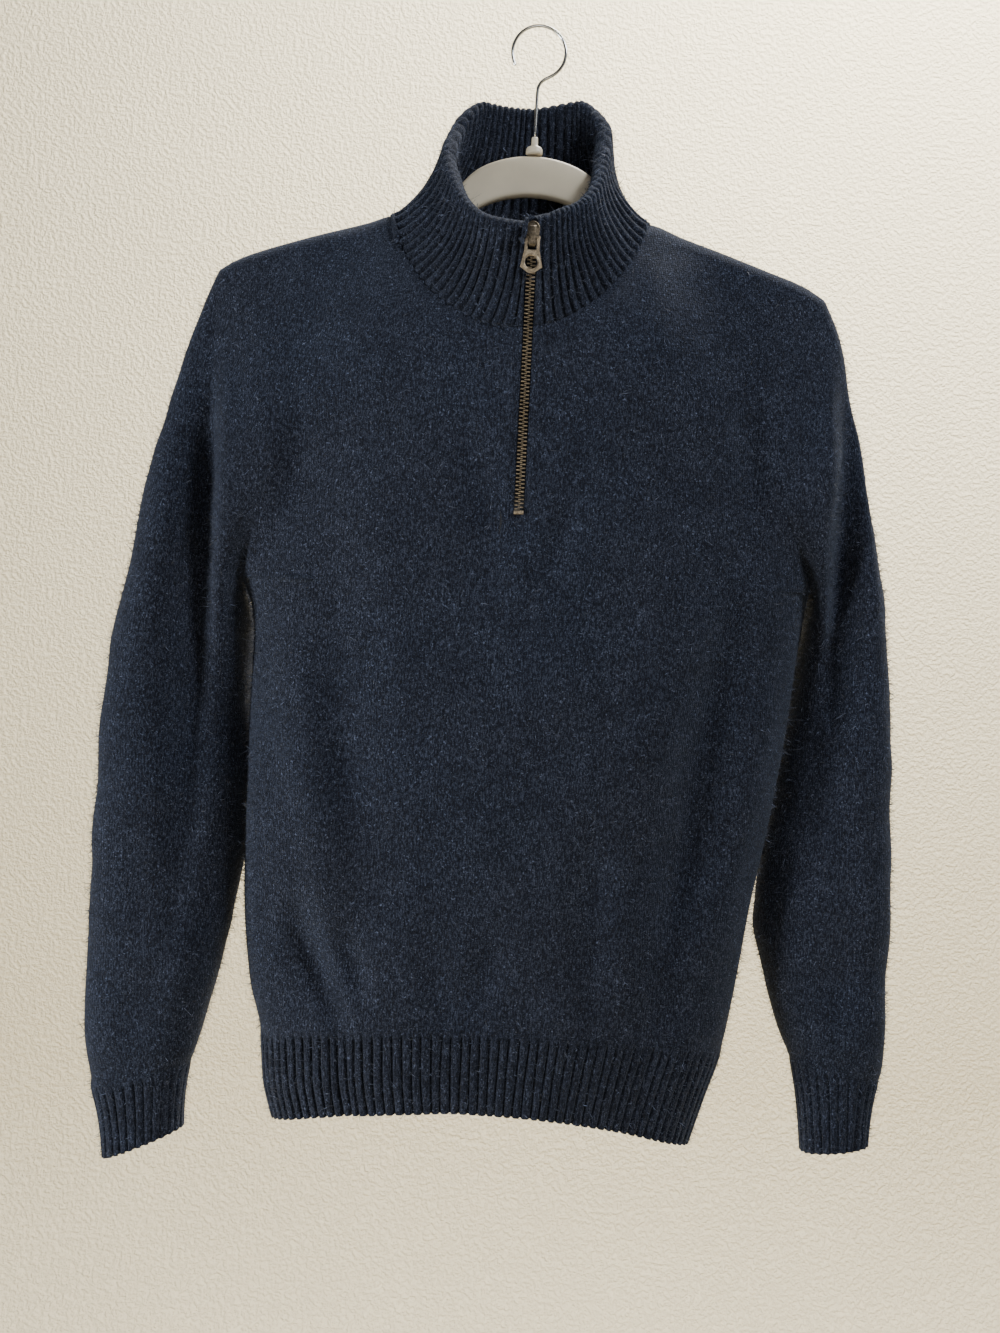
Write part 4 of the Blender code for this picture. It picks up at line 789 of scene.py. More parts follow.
def wool(name, knit, ribbed=False):
    """Heathered wool: dark and light fibres spun together, knitted in fine columns, and brushed."""
    made = Nodes(name)
    where = made.add("UVMap", uv_map="cloth").outputs["UV"]
    place = made.add("TexCoord").outputs["Object"]
    wander = made.add("TexNoise")
    made.link(place, wander.inputs["Vector"])
    wander.inputs["Scale"].default_value = knit.fleck_scale * 0.5
    shift = made.add("VectorMath", operation="MULTIPLY_ADD")
    made.link(wander.outputs["Color"], shift.inputs[0])
    shift.inputs[1].default_value = (0.0016, 0.0016, 0.0016)
    made.link(place, shift.inputs[2])
    curled = shift.outputs[0]
    fibres = made.noise(curled, knit.fleck_scale, 3.0, 0.7)
    tufts = made.noise(curled, knit.fleck_scale * 0.36, 3.0, 0.6)
    wales = made.noise(made.stretched(place, (1.0, 1.0, 0.30)), knit.fleck_scale * 0.9, 1.0)
    clouds = made.noise(place, 42.0, 4.0, 0.6)
    broad = made.noise(place, 9.0, 2.0, 0.5)
    heather = made.math("ADD", made.math("MULTIPLY", fibres, 0.48), made.math(
        "ADD", made.math("MULTIPLY", tufts, 0.20), made.math("MULTIPLY", wales, 0.32)))
    dark, mid, pale = (tuple(c) for c in (knit.dark_fibre, knit.wool_colour, knit.light_fibre))
    colour = made.ramp(heather, ((0.36, dark), (0.49, mid), (0.62, pale)))
    flecks = made.ramp(made.noise(curled, knit.fleck_scale * 0.5, 1.0), (
        (0.66, (0.0, 0.0, 0.0)), (0.74, (1.0, 1.0, 1.0))))
    colour = made.blend(flecks, colour, tuple(c * 1.7 for c in pale), "MIX")
    shade = made.ramp(clouds, ((0.30, (0.72, 0.73, 0.76)), (0.70, (1.25, 1.24, 1.21))))
    colour = made.blend(0.8, colour, shade, "MULTIPLY")
    tint = made.ramp(broad, ((0.35, (0.95, 0.97, 1.0)), (0.65, (1.05, 1.02, 1.0))))
    colour = made.blend(1.0, colour, tint, "MULTIPLY")
    # Painted shade: the wool is painted darker deep in the valleys between ribs, where shade falls.
    if ribbed:
        valley = made.add("Attribute", attribute_name="valley").outputs["Fac"]
        colour = made.blend(valley, colour, made.blend(
            1.0, colour, (knit.painted_valley_shade,) * 3, "MULTIPLY"))
    made.set("Base Color", colour)
    made.set("Roughness", 0.92)
    made.set("Specular IOR Level", 0.15)
    made.set("Sheen Weight", knit.sheen)
    made.set("Sheen Roughness", 0.55)
    made.set("Sheen Tint", (0.62, 0.74, 1.0, 1.0))
    split = made.add("SeparateXYZ")
    made.link(where, split.inputs[0])
    across, along = split.outputs[0], split.outputs[1]
    column = made.math("MULTIPLY", across, 2.0 * math.pi / knit.column_width)
    half = made.math("ABSOLUTE", made.math("SINE", made.math("MULTIPLY", column, 0.5)))
    slant = made.math("MULTIPLY", made.math("ABSOLUTE", made.math("SINE", column)), 1.4)
    row = made.math("SINE", made.math("ADD", slant, made.math(
        "MULTIPLY", along, 2.0 * math.pi / knit.row_height)))
    stitch = made.math("ADD", half, made.math("MULTIPLY", row, 0.3))
    knitted = made.bump(stitch, knit.stitch_depth, 0.5)
    fuzzy = made.bump(made.math("ADD", fibres, tufts), knit.nap_depth, 0.9, knitted)
    made.set("Normal", fuzzy)
    return made.material


def stray_wool(knit):
    """The loose fibres that stand off the cloth, some of them nearly white."""
    made = Nodes("stray wool fibres")
    place = made.add("TexCoord").outputs["Object"]
    colour = made.ramp(made.noise(place, 260.0, 1.0), (
        (0.35, knit.wool_colour), (0.55, knit.light_fibre),
        (0.72, tuple(min(1.0, c * 3.2) for c in knit.light_fibre))))
    made.set("Base Color", colour)
    made.set("Roughness", 0.7)
    return made.material


def old_brass(name, settings, wear=0.5, shade=1.0):
    """Brass with a dark antique finish, stained darker and lighter at random; more wear makes it
    rougher.
    """
    made = Nodes(name)
    place = made.add("TexCoord").outputs["Object"]
    stain = made.noise(place, 700.0, 4.0, 0.6)
    grime = made.noise(place, 2600.0, 2.0, 0.5)
    metal = tuple(c * shade for c in settings.metal_colour)
    colour = made.ramp(stain, ((0.30, tuple(c * 0.45 for c in metal)), (0.55, metal),
                               (0.80, tuple(min(1.0, c * 1.7) for c in metal))))
    made.set("Base Color", colour)
    made.set("Metallic", 0.9)
    made.set("Roughness", made.math("ADD", 0.30 + 0.1 * wear, made.math("MULTIPLY", grime, 0.25)))
    made.set("Normal", made.bump(grime, 0.00008, 0.5))
    return made.material


def tape_cloth():
    """The zip's tape: a dark herringbone ribbon."""
    made = Nodes("woven zip tape")
    place = made.add("TexCoord").outputs["Object"]
    split = made.add("SeparateXYZ")
    made.link(place, split.inputs[0])
    lines = made.math("ADD", made.math("ABSOLUTE", made.math("MULTIPLY", split.outputs[0], 9000.0)),
                      made.math("MULTIPLY", split.outputs[2], 9000.0))
    weave = made.math("SINE", lines)
    made.set("Base Color", made.ramp(weave, ((0.0, (0.004, 0.005, 0.008)),
                                             (1.0, (0.016, 0.019, 0.028)))))
    made.set("Roughness", 0.85)
    made.set("Normal", made.bump(weave, 0.00012, 0.6))
    return made.material


def moulded_plastic(settings):
    """Pale plastic with a slight mottle and a soft gloss."""
    made = Nodes("moulded plastic")
    place = made.add("TexCoord").outputs["Object"]
    mottle = made.noise(place, 60.0, 3.0, 0.5)
    pores = made.noise(place, 1800.0, 2.0, 0.5)
    colour = tuple(settings.plastic_colour)
    made.set("Base Color", made.ramp(mottle, ((0.3, tuple(c * 0.94 for c in colour)),
                                              (0.7, tuple(c * 1.05 for c in colour)))))
    made.set("Roughness", made.math("ADD", 0.36, made.math("MULTIPLY", pores, 0.14)))
    made.set("Normal", made.bump(pores, 0.00005, 0.4))
    return made.material


def bright_wire():
    """Plated steel wire, faintly drawn along its length."""
    made = Nodes("bright wire")
    place = made.add("TexCoord").outputs["Object"]
    marks = made.noise(made.stretched(place, (1.0, 1.0, 0.2)), 3000.0, 2.0, 0.5)
    made.set("Base Color", made.ramp(marks, ((0.3, (0.55, 0.55, 0.54)), (0.7, (0.78, 0.78, 0.77)))))
    made.set("Metallic", 1.0)
    made.set("Roughness", made.math("ADD", 0.16, made.math("MULTIPLY", marks, 0.14)))
    return made.material


def plain_backdrop(name, colour):
    """A painted plaster wall: flat pale paint over a lightly trowelled, pebbled skin."""
    made = Nodes(name)
    place = made.add("TexCoord").outputs["Object"]
    pebbles = made.noise(place, 105.0, 3.0, 0.6)
    broad = made.noise(place, 5.0, 3.0, 0.5)
    raised = made.ramp(pebbles, ((0.40, (0.0, 0.0, 0.0)), (0.62, (1.0, 1.0, 1.0))))
    made.set("Base Color", made.ramp(broad, ((0.3, tuple(c * 0.98 for c in colour)),
                                             (0.7, tuple(min(1.0, c * 1.01) for c in colour)))))
    made.set("Roughness", 0.8)
    made.set("Normal", made.bump(raised, 0.0034, 0.9))
    return made.material


# ---- Settings ------------------------------------------------------------------------------------
def colour_of(name, about, default):
    return FloatVectorProperty(name=name, description=about, subtype="COLOR", size=3,
                               min=0.0, max=1.0, default=default)


def number_of(name, about, low, high, default, kind="NONE"):
    return FloatProperty(name=name, description=about, min=low, max=high, default=default,
                         subtype=kind)


def length_of(name, about, low, high, default):
    return number_of(name, about, low, high, default, "DISTANCE")


def count_of(name, about, low, high, default):
    return IntProperty(name=name, description=about, min=low, max=high, default=default)


class KnitSettings(bpy.types.PropertyGroup):
    """The wool and how it is knitted."""

    wool_colour: colour_of("Wool colour", "Main colour of the yarn", (0.0062, 0.0080, 0.0152))
    dark_fibre: colour_of("Dark fibre", "Colour of the darkest fibres", (0.0012, 0.0016, 0.0032))
    light_fibre: colour_of("Light fibre", "Colour of the palest fibres", (0.045, 0.055, 0.086))
    # Painted shade: how dark the wool is painted deep between two ribs.
    painted_valley_shade: number_of("Valley shade", "Brightness of the painted shade deep between two ribs",
                            0.0, 1.0, 0.22, "FACTOR")
    sheen: number_of("Nap sheen", "How much the raised nap catches the light",
                     0.0, 1.0, 0.08, "FACTOR")
    fleck_scale: number_of("Fleck scale", "How fine the heathered flecks are, per metre",
                           100.0, 3000.0, 1350.0)
    column_width: length_of("Stitch width", "Width of one column of stitches",
                            0.0005, 0.01, 0.0021)
    row_height: length_of("Stitch height", "Height of one row of stitches", 0.0005, 0.01, 0.0016)
    stitch_depth: length_of("Stitch depth", "Depth between columns of stitches",
                            0.0, 0.002, 0.00028)
    nap_depth: length_of("Nap depth", "Depth of the brushed fibres", 0.0, 0.002, 0.00045)
    wall: length_of("Cloth thickness", "Thickness of the knitted cloth", 0.001, 0.006, 0.0024)
    strays: count_of("Stray fibres", "How many loose fibres stand off the cloth", 0, 60000, 58000)
    stray_length: length_of("Stray length", "Length of a usual loose fibre", 0.001, 0.02, 0.0038)


class RibSettings(bpy.types.PropertyGroup):
    """The ribs of the collar, cuffs and hem."""

    pitch: length_of("Rib spacing", "Distance from one rib to the next at the hem",
                     0.003, 0.02, 0.0066)
    depth: length_of("Rib depth", "Depth of the valleys between the ribs of hem and cuffs",
                     0.0, 0.004, 0.0019)
    collar_pitch: length_of("Collar rib spacing", "Distance from rib to rib at the collar's seam",
                            0.003, 0.02, 0.0072)
    collar_depth: length_of("Collar rib depth", "Depth of the valleys between the collar's ribs",
                            0.0, 0.004, 0.0022)
    collar_valley: number_of("Collar valley", "Width of the collar's valleys, as a share of a rib",
                             0.02, 0.5, 0.19)
    valley: number_of("Valley width", "Width of the valleys, as a share of the rib spacing",
                      0.02, 0.5, 0.13)


class ZipSettings(bpy.types.PropertyGroup):
    """The zip's metal and teeth."""

    metal_colour: colour_of("Metal colour", "Colour of the antique brass", (0.310, 0.250, 0.175))
    tooth_pitch: length_of("Tooth spacing", "Distance between two teeth of one side",
                           0.001, 0.005, 0.00254)
    tooth_wide: length_of("Chain width", "Width of the closed chain of teeth",
                          0.003, 0.01, 0.0060)


class HangerSettings(bpy.types.PropertyGroup):
    """The hanger's plastic."""

    plastic_colour: colour_of("Plastic colour", "Colour of the moulded hanger",
                              (0.600, 0.525, 0.395))
    levels: count_of("Smoothing", "How finely the hanger is rounded", 0, 3, 2)


class StageSettings(bpy.types.PropertyGroup):
    """The backdrop, the lights and the camera."""

    backdrop_colour: colour_of("Backdrop colour", "Colour of the plain pale backdrop",
                               (0.97, 0.86, 0.61))
    key_power: number_of("Key light", "Power that all the lights are shares of",
                         0.0, 500.0, 34.0, "POWER")
    sky: number_of("Ambient light", "Strength of the even light from all sides", 0.0, 5.0, 0.05)
    distance: length_of("Camera distance", "How far the camera stands from the hanger's plane",
                        0.3, 10.0, 1.25)
    frame_tall: length_of("View height", "Height of what the camera sees at the hanger's plane",
                          0.1, 5.0, 0.9198)
    tilt: number_of("Camera tilt", "How far the camera leans to its left, in degrees",
                    -20.0, 20.0, 2.9)


# ---- The cloth -----------------------------------------------------------------------------------
PANEL_GRIDS = {
    # columns by the neck and beyond it, rows below the underarm and above it
    "front": (34, 42, 84, 72),
    "back": (26, 42, 80, 66),
}
SLEEVE_GRID = (104, 150)  # columns round a sleeve, rows up it
RIB_COLUMNS = 10          # columns of points to each rib
RIB_LEVEL = 0.7           # the height of a rib's profile that lies on the form of the cloth
RIB_EXTRA = 0.0004        # how much thicker ribbed cloth is
CUFF_FINER = 0.93         # a cuff's ribs are this much closer than the hem's
CUFF_SHALLOWER = 0.75     # and this much less deep
GROOVE_WIDE = 0.0024      # width of the groove along an armhole's seam
GROOVE_DEEP = 0.0007      # and its depth
WELT_TALL = 0.0012        # how far the cloth rises beside the zip


def cloth_uv(points, start):
    """UV in metres: across the stitches from a start column, and up them."""
    across = lengths_along(points, 1)
    across = across - across[:, [start]]
    up = lengths_along(points, 0)[:, [start]]
    return np.stack([across, np.broadcast_to(up, across.shape)], axis=-1)


def panel_uv(points, middle):
    """UV in metres of a panel, whose stitches stand upright: along its depth line, and height."""
    depth = points[..., 1] - points[:, [middle], 1]
    across = points[..., 0] - points[:, [middle], 0]
    return np.stack([across * (1.0 + 0.25 * abs(depth) / 0.06), points[..., 2]], axis=-1)


def groove(distance, width, depth):
    """A soft groove along an edge: its depth at a distance from the edge."""
    return depth * np.exp(-(distance / width) ** 2)


def armhole_groove(distance, upper):
    """The groove along the armhole, which fades at the underarm (0) and the shoulder (1)."""
    return groove(distance, GROOVE_WIDE, GROOVE_DEEP) * eased(10.0 * upper * (1.0 - upper))


def make_panel(face, knit):
    """The front or the back, with its folds, its zip slit and the grooves of its seams."""
    front = face == "front"
    near, far, low, high = PANEL_GRIDS[face]
    points, middle = panel_grid(face, near, far, low, high)
    normals = grid_normals(points, flip=not front)
    across = lengths_along(points, 1)
    edge = np.minimum(across, across[:, [-1]] - across)
    up = lengths_along(points, 0)
    below = up[[-1]] - up
    calm = eased(edge / 0.03) * eased(up / 0.03) * eased(below / 0.02)
    uneven = unevenness(points, normals, 0.055, 0.0026, 3.0 if front else 17.0)
    uneven = unevenness(uneven, normals, 0.022, 0.0006, 5.0)
    points = mix(points, uneven, calm[..., None])
    upper = panel_rows(low, high)[1][:, None]
    dip = armhole_groove(edge, upper) * eased(below / 0.02)
    points[..., 1] += dip if front else -dip
    if front:
        beside = abs(points[..., 0] - ZIP_X) - SLIT_HALF
        above = eased((points[..., 2] - ZIP_BOTTOM - 0.004) / 0.01)
        points[..., 1] -= groove(beside - 0.004, 0.004, WELT_TALL) * above
    uv = panel_uv(points, middle)
    points = drawn_back(points)

    def in_slit(row, column):
        height = points[int(row), middle, 2]
        return abs(column - middle - 0.5) < 0.1 and height > ZIP_BOTTOM - 0.001

    return grid_piece(face + "_panel", points, uv, finish("knit"), flip=not front,
                      wall=knit.wall, leave_out=in_slit if front else None)


def make_sleeve(name, knit):
    """One sleeve, a tube from its cuff to its armhole."""
    turns, rings = SLEEVE_GRID
    angle = np.linspace(0.0, 2.0 * math.pi, turns + 1)
    place = np.append(np.linspace(0.0, SLEEVE_PLACES - 0.5, rings), SLEEVE_PLACES)
    points = sleeve_points(name, place[:, None], angle[None, :])
    flip = name == "left"
    normals = grid_normals(points, wrap=True, flip=flip)
    seed = 31.0 if name == "left" else 47.0
    hold = (1.0 - eased((place - 10.0) / 1.0)) * eased(place / 0.3)
    uneven = unevenness(points, normals, 0.045, 0.0024, seed)
    uneven = unevenness(uneven, normals, 0.020, 0.0006, seed + 3.0)
    uneven[:, -1] = uneven[:, 0]
    points = mix(points, uneven, hold[:, None, None])
    up = lengths_along(points, 0)
    dip = armhole_groove(up[[-1]] - up, 0.5 - 0.5 * np.cos(angle))
    points[..., 1] += np.sign(np.sin(angle)) * dip
    uv = cloth_uv(points, turns // 2)
    points = drawn_back(points, sides=False)
    return grid_piece("sleeve_shell_" + name, points, uv, finish("knit"), wrap=True,
                      flip=flip, wall=knit.wall)


def ribbed(points, normals, crest, fade, depth):
    """A grid with ribs raised on it, which fade with the rows where a seam holds them."""
    return points + normals * ((crest - RIB_LEVEL) * fade[:, None] * depth)[..., None]


def make_cuff(name, knit, ribs):
    """One ribbed cuff, a short tube."""
    angle = np.linspace(0.0, 2.0 * math.pi, 2000)
    line = cuff_points(name, np.full(angle.shape, 0.5), angle)
    along = lengths_along(line[None], 1)[0]
    count = round(along[-1] / (ribs.pitch * CUFF_FINER))
    columns = count * RIB_COLUMNS
    angle = np.interp(np.linspace(0.0, along[-1], columns + 1), along, angle)
    share = np.linspace(0.0, 1.0, 26)
    points = cuff_points(name, share[:, None], angle[None, :])
    flip = name == "left"
    normals = grid_normals(points, wrap=True, flip=flip)
    phase = wandering(np.linspace(0.0, count, columns + 1)[None, :], share[:, None], count)
    crest = rib_profile(phase, ribs.valley)
    fade = 1.0 - 0.8 * eased((share - 0.90) / 0.10)
    points = ribbed(points, normals, crest, fade, CUFF_SHALLOWER * ribs.depth)
    points[0, :, 2] += 0.0004 * np.sin(2.0 * math.pi * phase[0])
    uv = cloth_uv(points, columns // 2)
    points = drawn_back(points, sides=False)
    # valleys is painted shade between the cuff's ribs, a quarter of full strength.
    return grid_piece("cuff_rib_" + name, points, uv, finish("rib"), wrap=True, flip=flip,
                      wall=knit.wall + RIB_EXTRA, valleys=0.25 * (1.0 - crest) * fade[:, None])


def make_hem(face, knit, ribs):
    """Half of the ribbed hem."""
    length = lengths_along(hem_points(face, 1500, np.zeros(1)), 1)[0, -1]
    count = round(length / ribs.pitch)
    columns = count * RIB_COLUMNS + 1
    share = np.linspace(1.0, 0.0, 24)
    points = hem_points(face, columns, share)
    flip = face == "back"
    normals = grid_normals(points, flip=flip)
    phase = wandering(np.linspace(0.0, count, columns)[None, :], share[:, None], count)
    crest = rib_profile(phase, ribs.valley)
    fade = eased((share - 0.01) / 0.09)
    points = ribbed(points, normals, crest, fade, ribs.depth)
    points[0, :, 2] += 0.0008 * (1.0 - crest[0])
    uv = cloth_uv(points, columns // 2)
    points = drawn_back(points)
    # valleys is painted shade between the hem's ribs.
    return grid_piece("hem_rib_" + face, points, uv, finish("rib"), flip=flip,
                      wall=knit.wall + RIB_EXTRA, valleys=0.7 * (1.0 - crest) * fade[:, None])


def make_collar(ribs):
    """The folded rib collar: outer face, rounded rim and inner face, closed along its seams."""
    length = neckline(3)[2]
    count = round(length / ribs.collar_pitch)
    columns = count * RIB_COLUMNS + 1
    climb, turns = 36, 10
    outer = collar_face(columns, climb)
    normals = grid_normals(outer, flip=True)
    share = np.linspace(0.0, 1.0, climb + 1)
    thick = mix(COLLAR_SEAM, COLLAR_RIM, eased(share / 0.7))
    end = climb - 3
    outward = normals[end]
    upward = outer[-1] - outer[end]
    room = np.linalg.norm(upward, axis=-1, keepdims=True)
    upward = upward / room
    half = 0.5 * COLLAR_RIM
    centre = outer[end] + upward * np.maximum(room - half, 0.0005) - outward * half
    rows = [outer[k] for k in range(end + 1)]
    outs = [normals[k] for k in range(end + 1)]
    for k in range(turns + 1):
        angle = math.pi * k / turns
        out = outward * math.cos(angle) + upward * math.sin(angle)
        rows.append(centre + out * half)
        outs.append(out)
    for k in reversed(range(end + 1)):
        rows.append(outer[k] - normals[k] * thick[k])
        outs.append(-normals[k])
    points, outs = np.array(rows), np.array(outs)
    level = np.concatenate([share[:end + 1], np.ones(turns + 1), share[end::-1]])
    phase = wandering(np.linspace(0.0, count, columns)[None, :], level[:, None], count)
    inside = np.arange(len(level)) > end + turns // 2
    crest = rib_profile(np.where(inside[:, None], phase + 0.5, phase), ribs.collar_valley)
    from_end = np.linspace(0.0, count, columns)
    from_end = np.minimum(from_end, count - from_end)
    lift = (crest - RIB_LEVEL) * eased(from_end / 0.8)
    depth = ribs.collar_depth * mix(1.0, 0.5, eased((level - 0.45) / 0.55))
    points = points + outs * (lift * depth[:, None])[..., None]
    proud = 0.0016 * eased(level / 0.03) * (1.0 - eased((level - 0.2) / 0.5)) * ~inside
    points = points + outs * proud[:, None, None]
    points = unevenness(points, outs, 0.030, 0.0014, 71.0)
    uv = cloth_uv(points, columns // 2)
    points = drawn_back(points)
    under = points[0] - points[3]
    under = under / np.linalg.norm(under, axis=-1, keepdims=True)
    tuck = 0.5 * (points[0] + points[-1]) + under * 0.003
    points = np.concatenate([points, tuck[None], points[:1]])
    uv = np.concatenate([uv, uv[:1], uv[:1]])
    # Painted shade between the collar's ribs, stronger towards the seam than at the rim.
    valleys = (1.0 - crest) * mix(0.75, 0.35, eased((level - 0.5) / 0.5))[:, None]
    valleys = np.concatenate([valleys, valleys[:1], valleys[:1]])
    piece = grid_piece("collar_rib", points, uv, finish("rib"), wrap=True, flip=True,
                       valleys=valleys)
    bm = bmesh.new()
    bm.from_mesh(piece.data)
    edges = [edge for edge in bm.edges if edge.is_boundary]
    bmesh.ops.holes_fill(bm, edges=edges, sides=0)
    bm.to_mesh(piece.data)
    bm.free()
    return piece


def make_strays(pieces, knit):
    """Loose fibres all over the cloth, each a thin bent ribbon, joined into one mesh."""
    rng = np.random.default_rng(2024)

    def read(mesh, what, wide):
        values = np.zeros(len(mesh.polygons) * wide)
        mesh.polygons.foreach_get(what, values)
        return values.reshape(-1, wide)

    faces = []
    for piece in pieces:
        centres, facing = (read(piece.data, what, 3) for what in ("center", "normal"))
        # more of them stand off the flanks, where nothing presses them flat
        chances = read(piece.data, "area", 1)[:, 0] * (0.4 + 2.4 * facing[:, 0] ** 2)
        faces.append((centres, facing, chances))
    total = sum(face[2].sum() for face in faces)
    roots, normals = [], []
    for centres, facing, chances in faces:
        wanted = int(knit.strays * chances.sum() / total)
        picked = rng.choice(len(chances), size=wanted, p=chances / chances.sum())
        jitter = rng.normal(0.0, 0.0011, (wanted, 3))
        off = facing[picked] * (jitter * facing[picked]).sum(1, keepdims=True)
        roots.append(centres[picked] + (jitter - off))
        normals.append(facing[picked])
    roots, normals = np.concatenate(roots), np.concatenate(normals)
    count = len(roots)
    stray = rng.normal(0.0, 1.0, (count, 3))
    lean = stray + np.array([0.0, 0.0, -0.25]) + normals * rng.uniform(0.2, 1.9, (count, 1))
    lean /= np.linalg.norm(lean, axis=1, keepdims=True)
    toward = np.where((lean * normals).sum(1, keepdims=True) < 0.08, normals * 0.35 + lean * 0.9,
                      lean)
    length = knit.stray_length * rng.lognormal(-0.25, 0.45, (count, 1))
    length = np.clip(length, 0.0008, 0.0070)
    bend = rng.normal(0.0, 0.35, (count, 3)) * length
    side = np.cross(toward, rng.normal(0.0, 1.0, (count, 3)))
    side /= np.maximum(np.linalg.norm(side, axis=1, keepdims=True), 1e-9)
    width = 0.00016 * rng.uniform(0.5, 1.3, (count, 1))
    middle = roots + toward * length * 0.55 + bend * 0.35
    tip = roots + toward * length + bend
    start = roots - normals * 0.0003
    verts = np.stack([start - side * width, start + side * width, middle - side * width * 0.8,
                      middle + side * width * 0.8, tip], axis=1).reshape(-1, 3)
    base = np.arange(count)[:, None] * 5
    quads = base + np.array([[0, 1, 3, 2]])
    tips = base + np.array([[2, 3, 4]])
    mesh = bpy.data.meshes.new("stray_fibres")
    mesh.from_pydata(verts.tolist(), [], quads.tolist() + tips.tolist())
    return placed("stray_fibres", mesh, finish("fibres"))


# ---- The zip and the hanger ----------------------------------------------------------------------
def merged(node):
    """A solid's mesh with its loose triangles merged."""
    bm = bmesh.new()
    bm.from_mesh(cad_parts[node].data)
    bmesh.ops.remove_doubles(bm, verts=bm.verts, dist=1e-5)
    return bm


def closed_copy(node, name, material, add=None):
    """A copy of a solid with its flat faces joined, and with what `add` puts on it."""
    bm = merged(node)
    bmesh.ops.dissolve_limit(bm, angle_limit=0.02, verts=bm.verts, edges=bm.edges)
    if add:
        add(bm)
        bmesh.ops.recalc_face_normals(bm, faces=bm.faces)
    return new_piece(name, bm, material)


def finer_copy(node, name, material, levels):
    """A copy of a lofted solid, merged and rounded by subdivision."""
    bm = merged(node)
    bmesh.ops.join_triangles(bm, faces=bm.faces, angle_face_threshold=0.8,
                             angle_shape_threshold=3.1)
    piece = new_piece(name, bm, material)
    rounded = piece.modifiers.new("rounded", "SUBSURF")
    rounded.levels = levels
    rounded.render_levels = levels
    return piece


def bevelled(piece, width, segments=2):
    """A piece with its sharp edges rounded off."""
    edge = piece.modifiers.new("edges", "BEVEL")
    edge.width = width
    edge.segments = segments
    edge.limit_method = "ANGLE"
    edge.angle_limit = math.radians(35.0)
    edge.harden_normals = False
    return piece


def cloth_line_at_zip(heights):
    """How far forward the cloth is along the zip's left side, at each height."""
    lower, upper = panel_rows(60, 60)
    zeros = np.zeros(lower.shape)
    front = body_points(-1, zeros, lower, upper, "front")
    outer = collar_face(37, 12)[:, 0]
    line = np.concatenate([front[:, 1:], outer[1:, 1:]])
    return np.interp(heights, line[:, 1], line[:, 0])


def make_teeth(settings):
    """The closed chain: two rows of small metal teeth that mesh, joined into one mesh."""
    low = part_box("zip_stop")[1][2] + 0.0006
    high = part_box("zip_slider")[0][2] - 0.0002
    wide, tall, deep = settings.tooth_wide * 0.62, settings.tooth_pitch * 0.40, 0.0019
    steps = int((high - low) / (settings.tooth_pitch / 2.0))
    heights = low + (np.arange(steps) + 0.5) * settings.tooth_pitch / 2.0
    depth = cloth_line_at_zip(heights)
    slope = np.gradient(depth, heights)
    reach = settings.tooth_wide * 0.5 - wide * 0.5
    bm = bmesh.new()
    for k, (z, y, lean) in enumerate(zip(heights, depth, slope)):
        side = 1.0 if k % 2 else -1.0
        place = (Matrix.Translation((ZIP_X + side * reach, y + 0.0013, z))
                 @ Matrix.Rotation(-math.atan(lean), 4, "X")
                 @ Matrix.Diagonal((wide, deep, tall, 1.0)))
        tooth = bmesh.ops.create_cube(bm, size=1.0, matrix=place)["verts"]
        head = [v for v in tooth if (v.co.x - ZIP_X) * side < reach]
        bmesh.ops.scale(bm, vec=(1.0, 0.9, 0.62), verts=head,
                        space=Matrix.Translation((0.0, -y - 0.0013, -z)))
    bmesh.ops.bevel(bm, geom=bm.edges[:], offset=0.00022, segments=1, profile=0.5,
                    affect="EDGES", material=-1)
    return new_piece("zip_chain", bm, finish("teeth"), smooth=False)


def bent_bar(bm, centre, radius, bar, sides, axis, angle, steps):
    """A round bar bent about a centre: half a turn is a bail, a full turn a rim."""
    circle = bmesh.ops.create_circle(bm, segments=sides, radius=bar)["verts"]
    bmesh.ops.translate(bm, verts=circle, vec=centre + Vector((radius, 0.0, 0.0)))
    edges = list({edge for v in circle for edge in v.link_edges})
    bmesh.ops.spin(bm, geom=circle + edges, cent=centre, axis=axis, angle=angle, steps=steps,
                   use_merge=angle > 6.0)


def make_slider():
    """The slider with its crown, and the bail that the tab turns under."""
    def add_bail(bm):
        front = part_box("pull_tab")[1][1] + 0.0006
        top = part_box("zip_slider")[1][2]
        bent_bar(bm, Vector((ZIP_X, front, top - 0.0040)), 0.0040, 0.00045, 8, (0, -1, 0),
                 math.pi, 16)
        ends = [edge for edge in bm.edges if edge.is_boundary]
        bmesh.ops.holes_fill(bm, edges=ends, sides=0)

    piece = closed_copy("zip_slider", "slider_body", finish("dark brass"), add_bail)
    return bevelled(piece, 0.00022)


def make_tab():
    """The pull tab: a pierced plate on a forked top, with a raised rim round its hole."""
    def add_rim_and_nubs(bm):
        low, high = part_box("pull_tab")
        middle_y = 0.5 * (low[1] + high[1])
        bent_bar(bm, Vector((ZIP_X, middle_y, TAB_HOLE_Z)), TAB_HOLE_RIM, 0.0009, 10, (0, 1, 0),
                 2.0 * math.pi, 40)
        for side in (-1.0, 1.0):
            nub = bmesh.ops.create_uvsphere(bm, u_segments=16, v_segments=10,
                                            radius=0.00125)["verts"]
            bmesh.ops.scale(bm, vec=(1.0, 0.72, 1.15), verts=nub)
            place = (ZIP_X + side * 0.0042, middle_y, high[2] - 0.0009)
            bmesh.ops.translate(bm, verts=nub, vec=place)

    piece = closed_copy("pull_tab", "tab_plate", finish("brass"), add_rim_and_nubs)
    return bevelled(piece, 0.00025, 3)


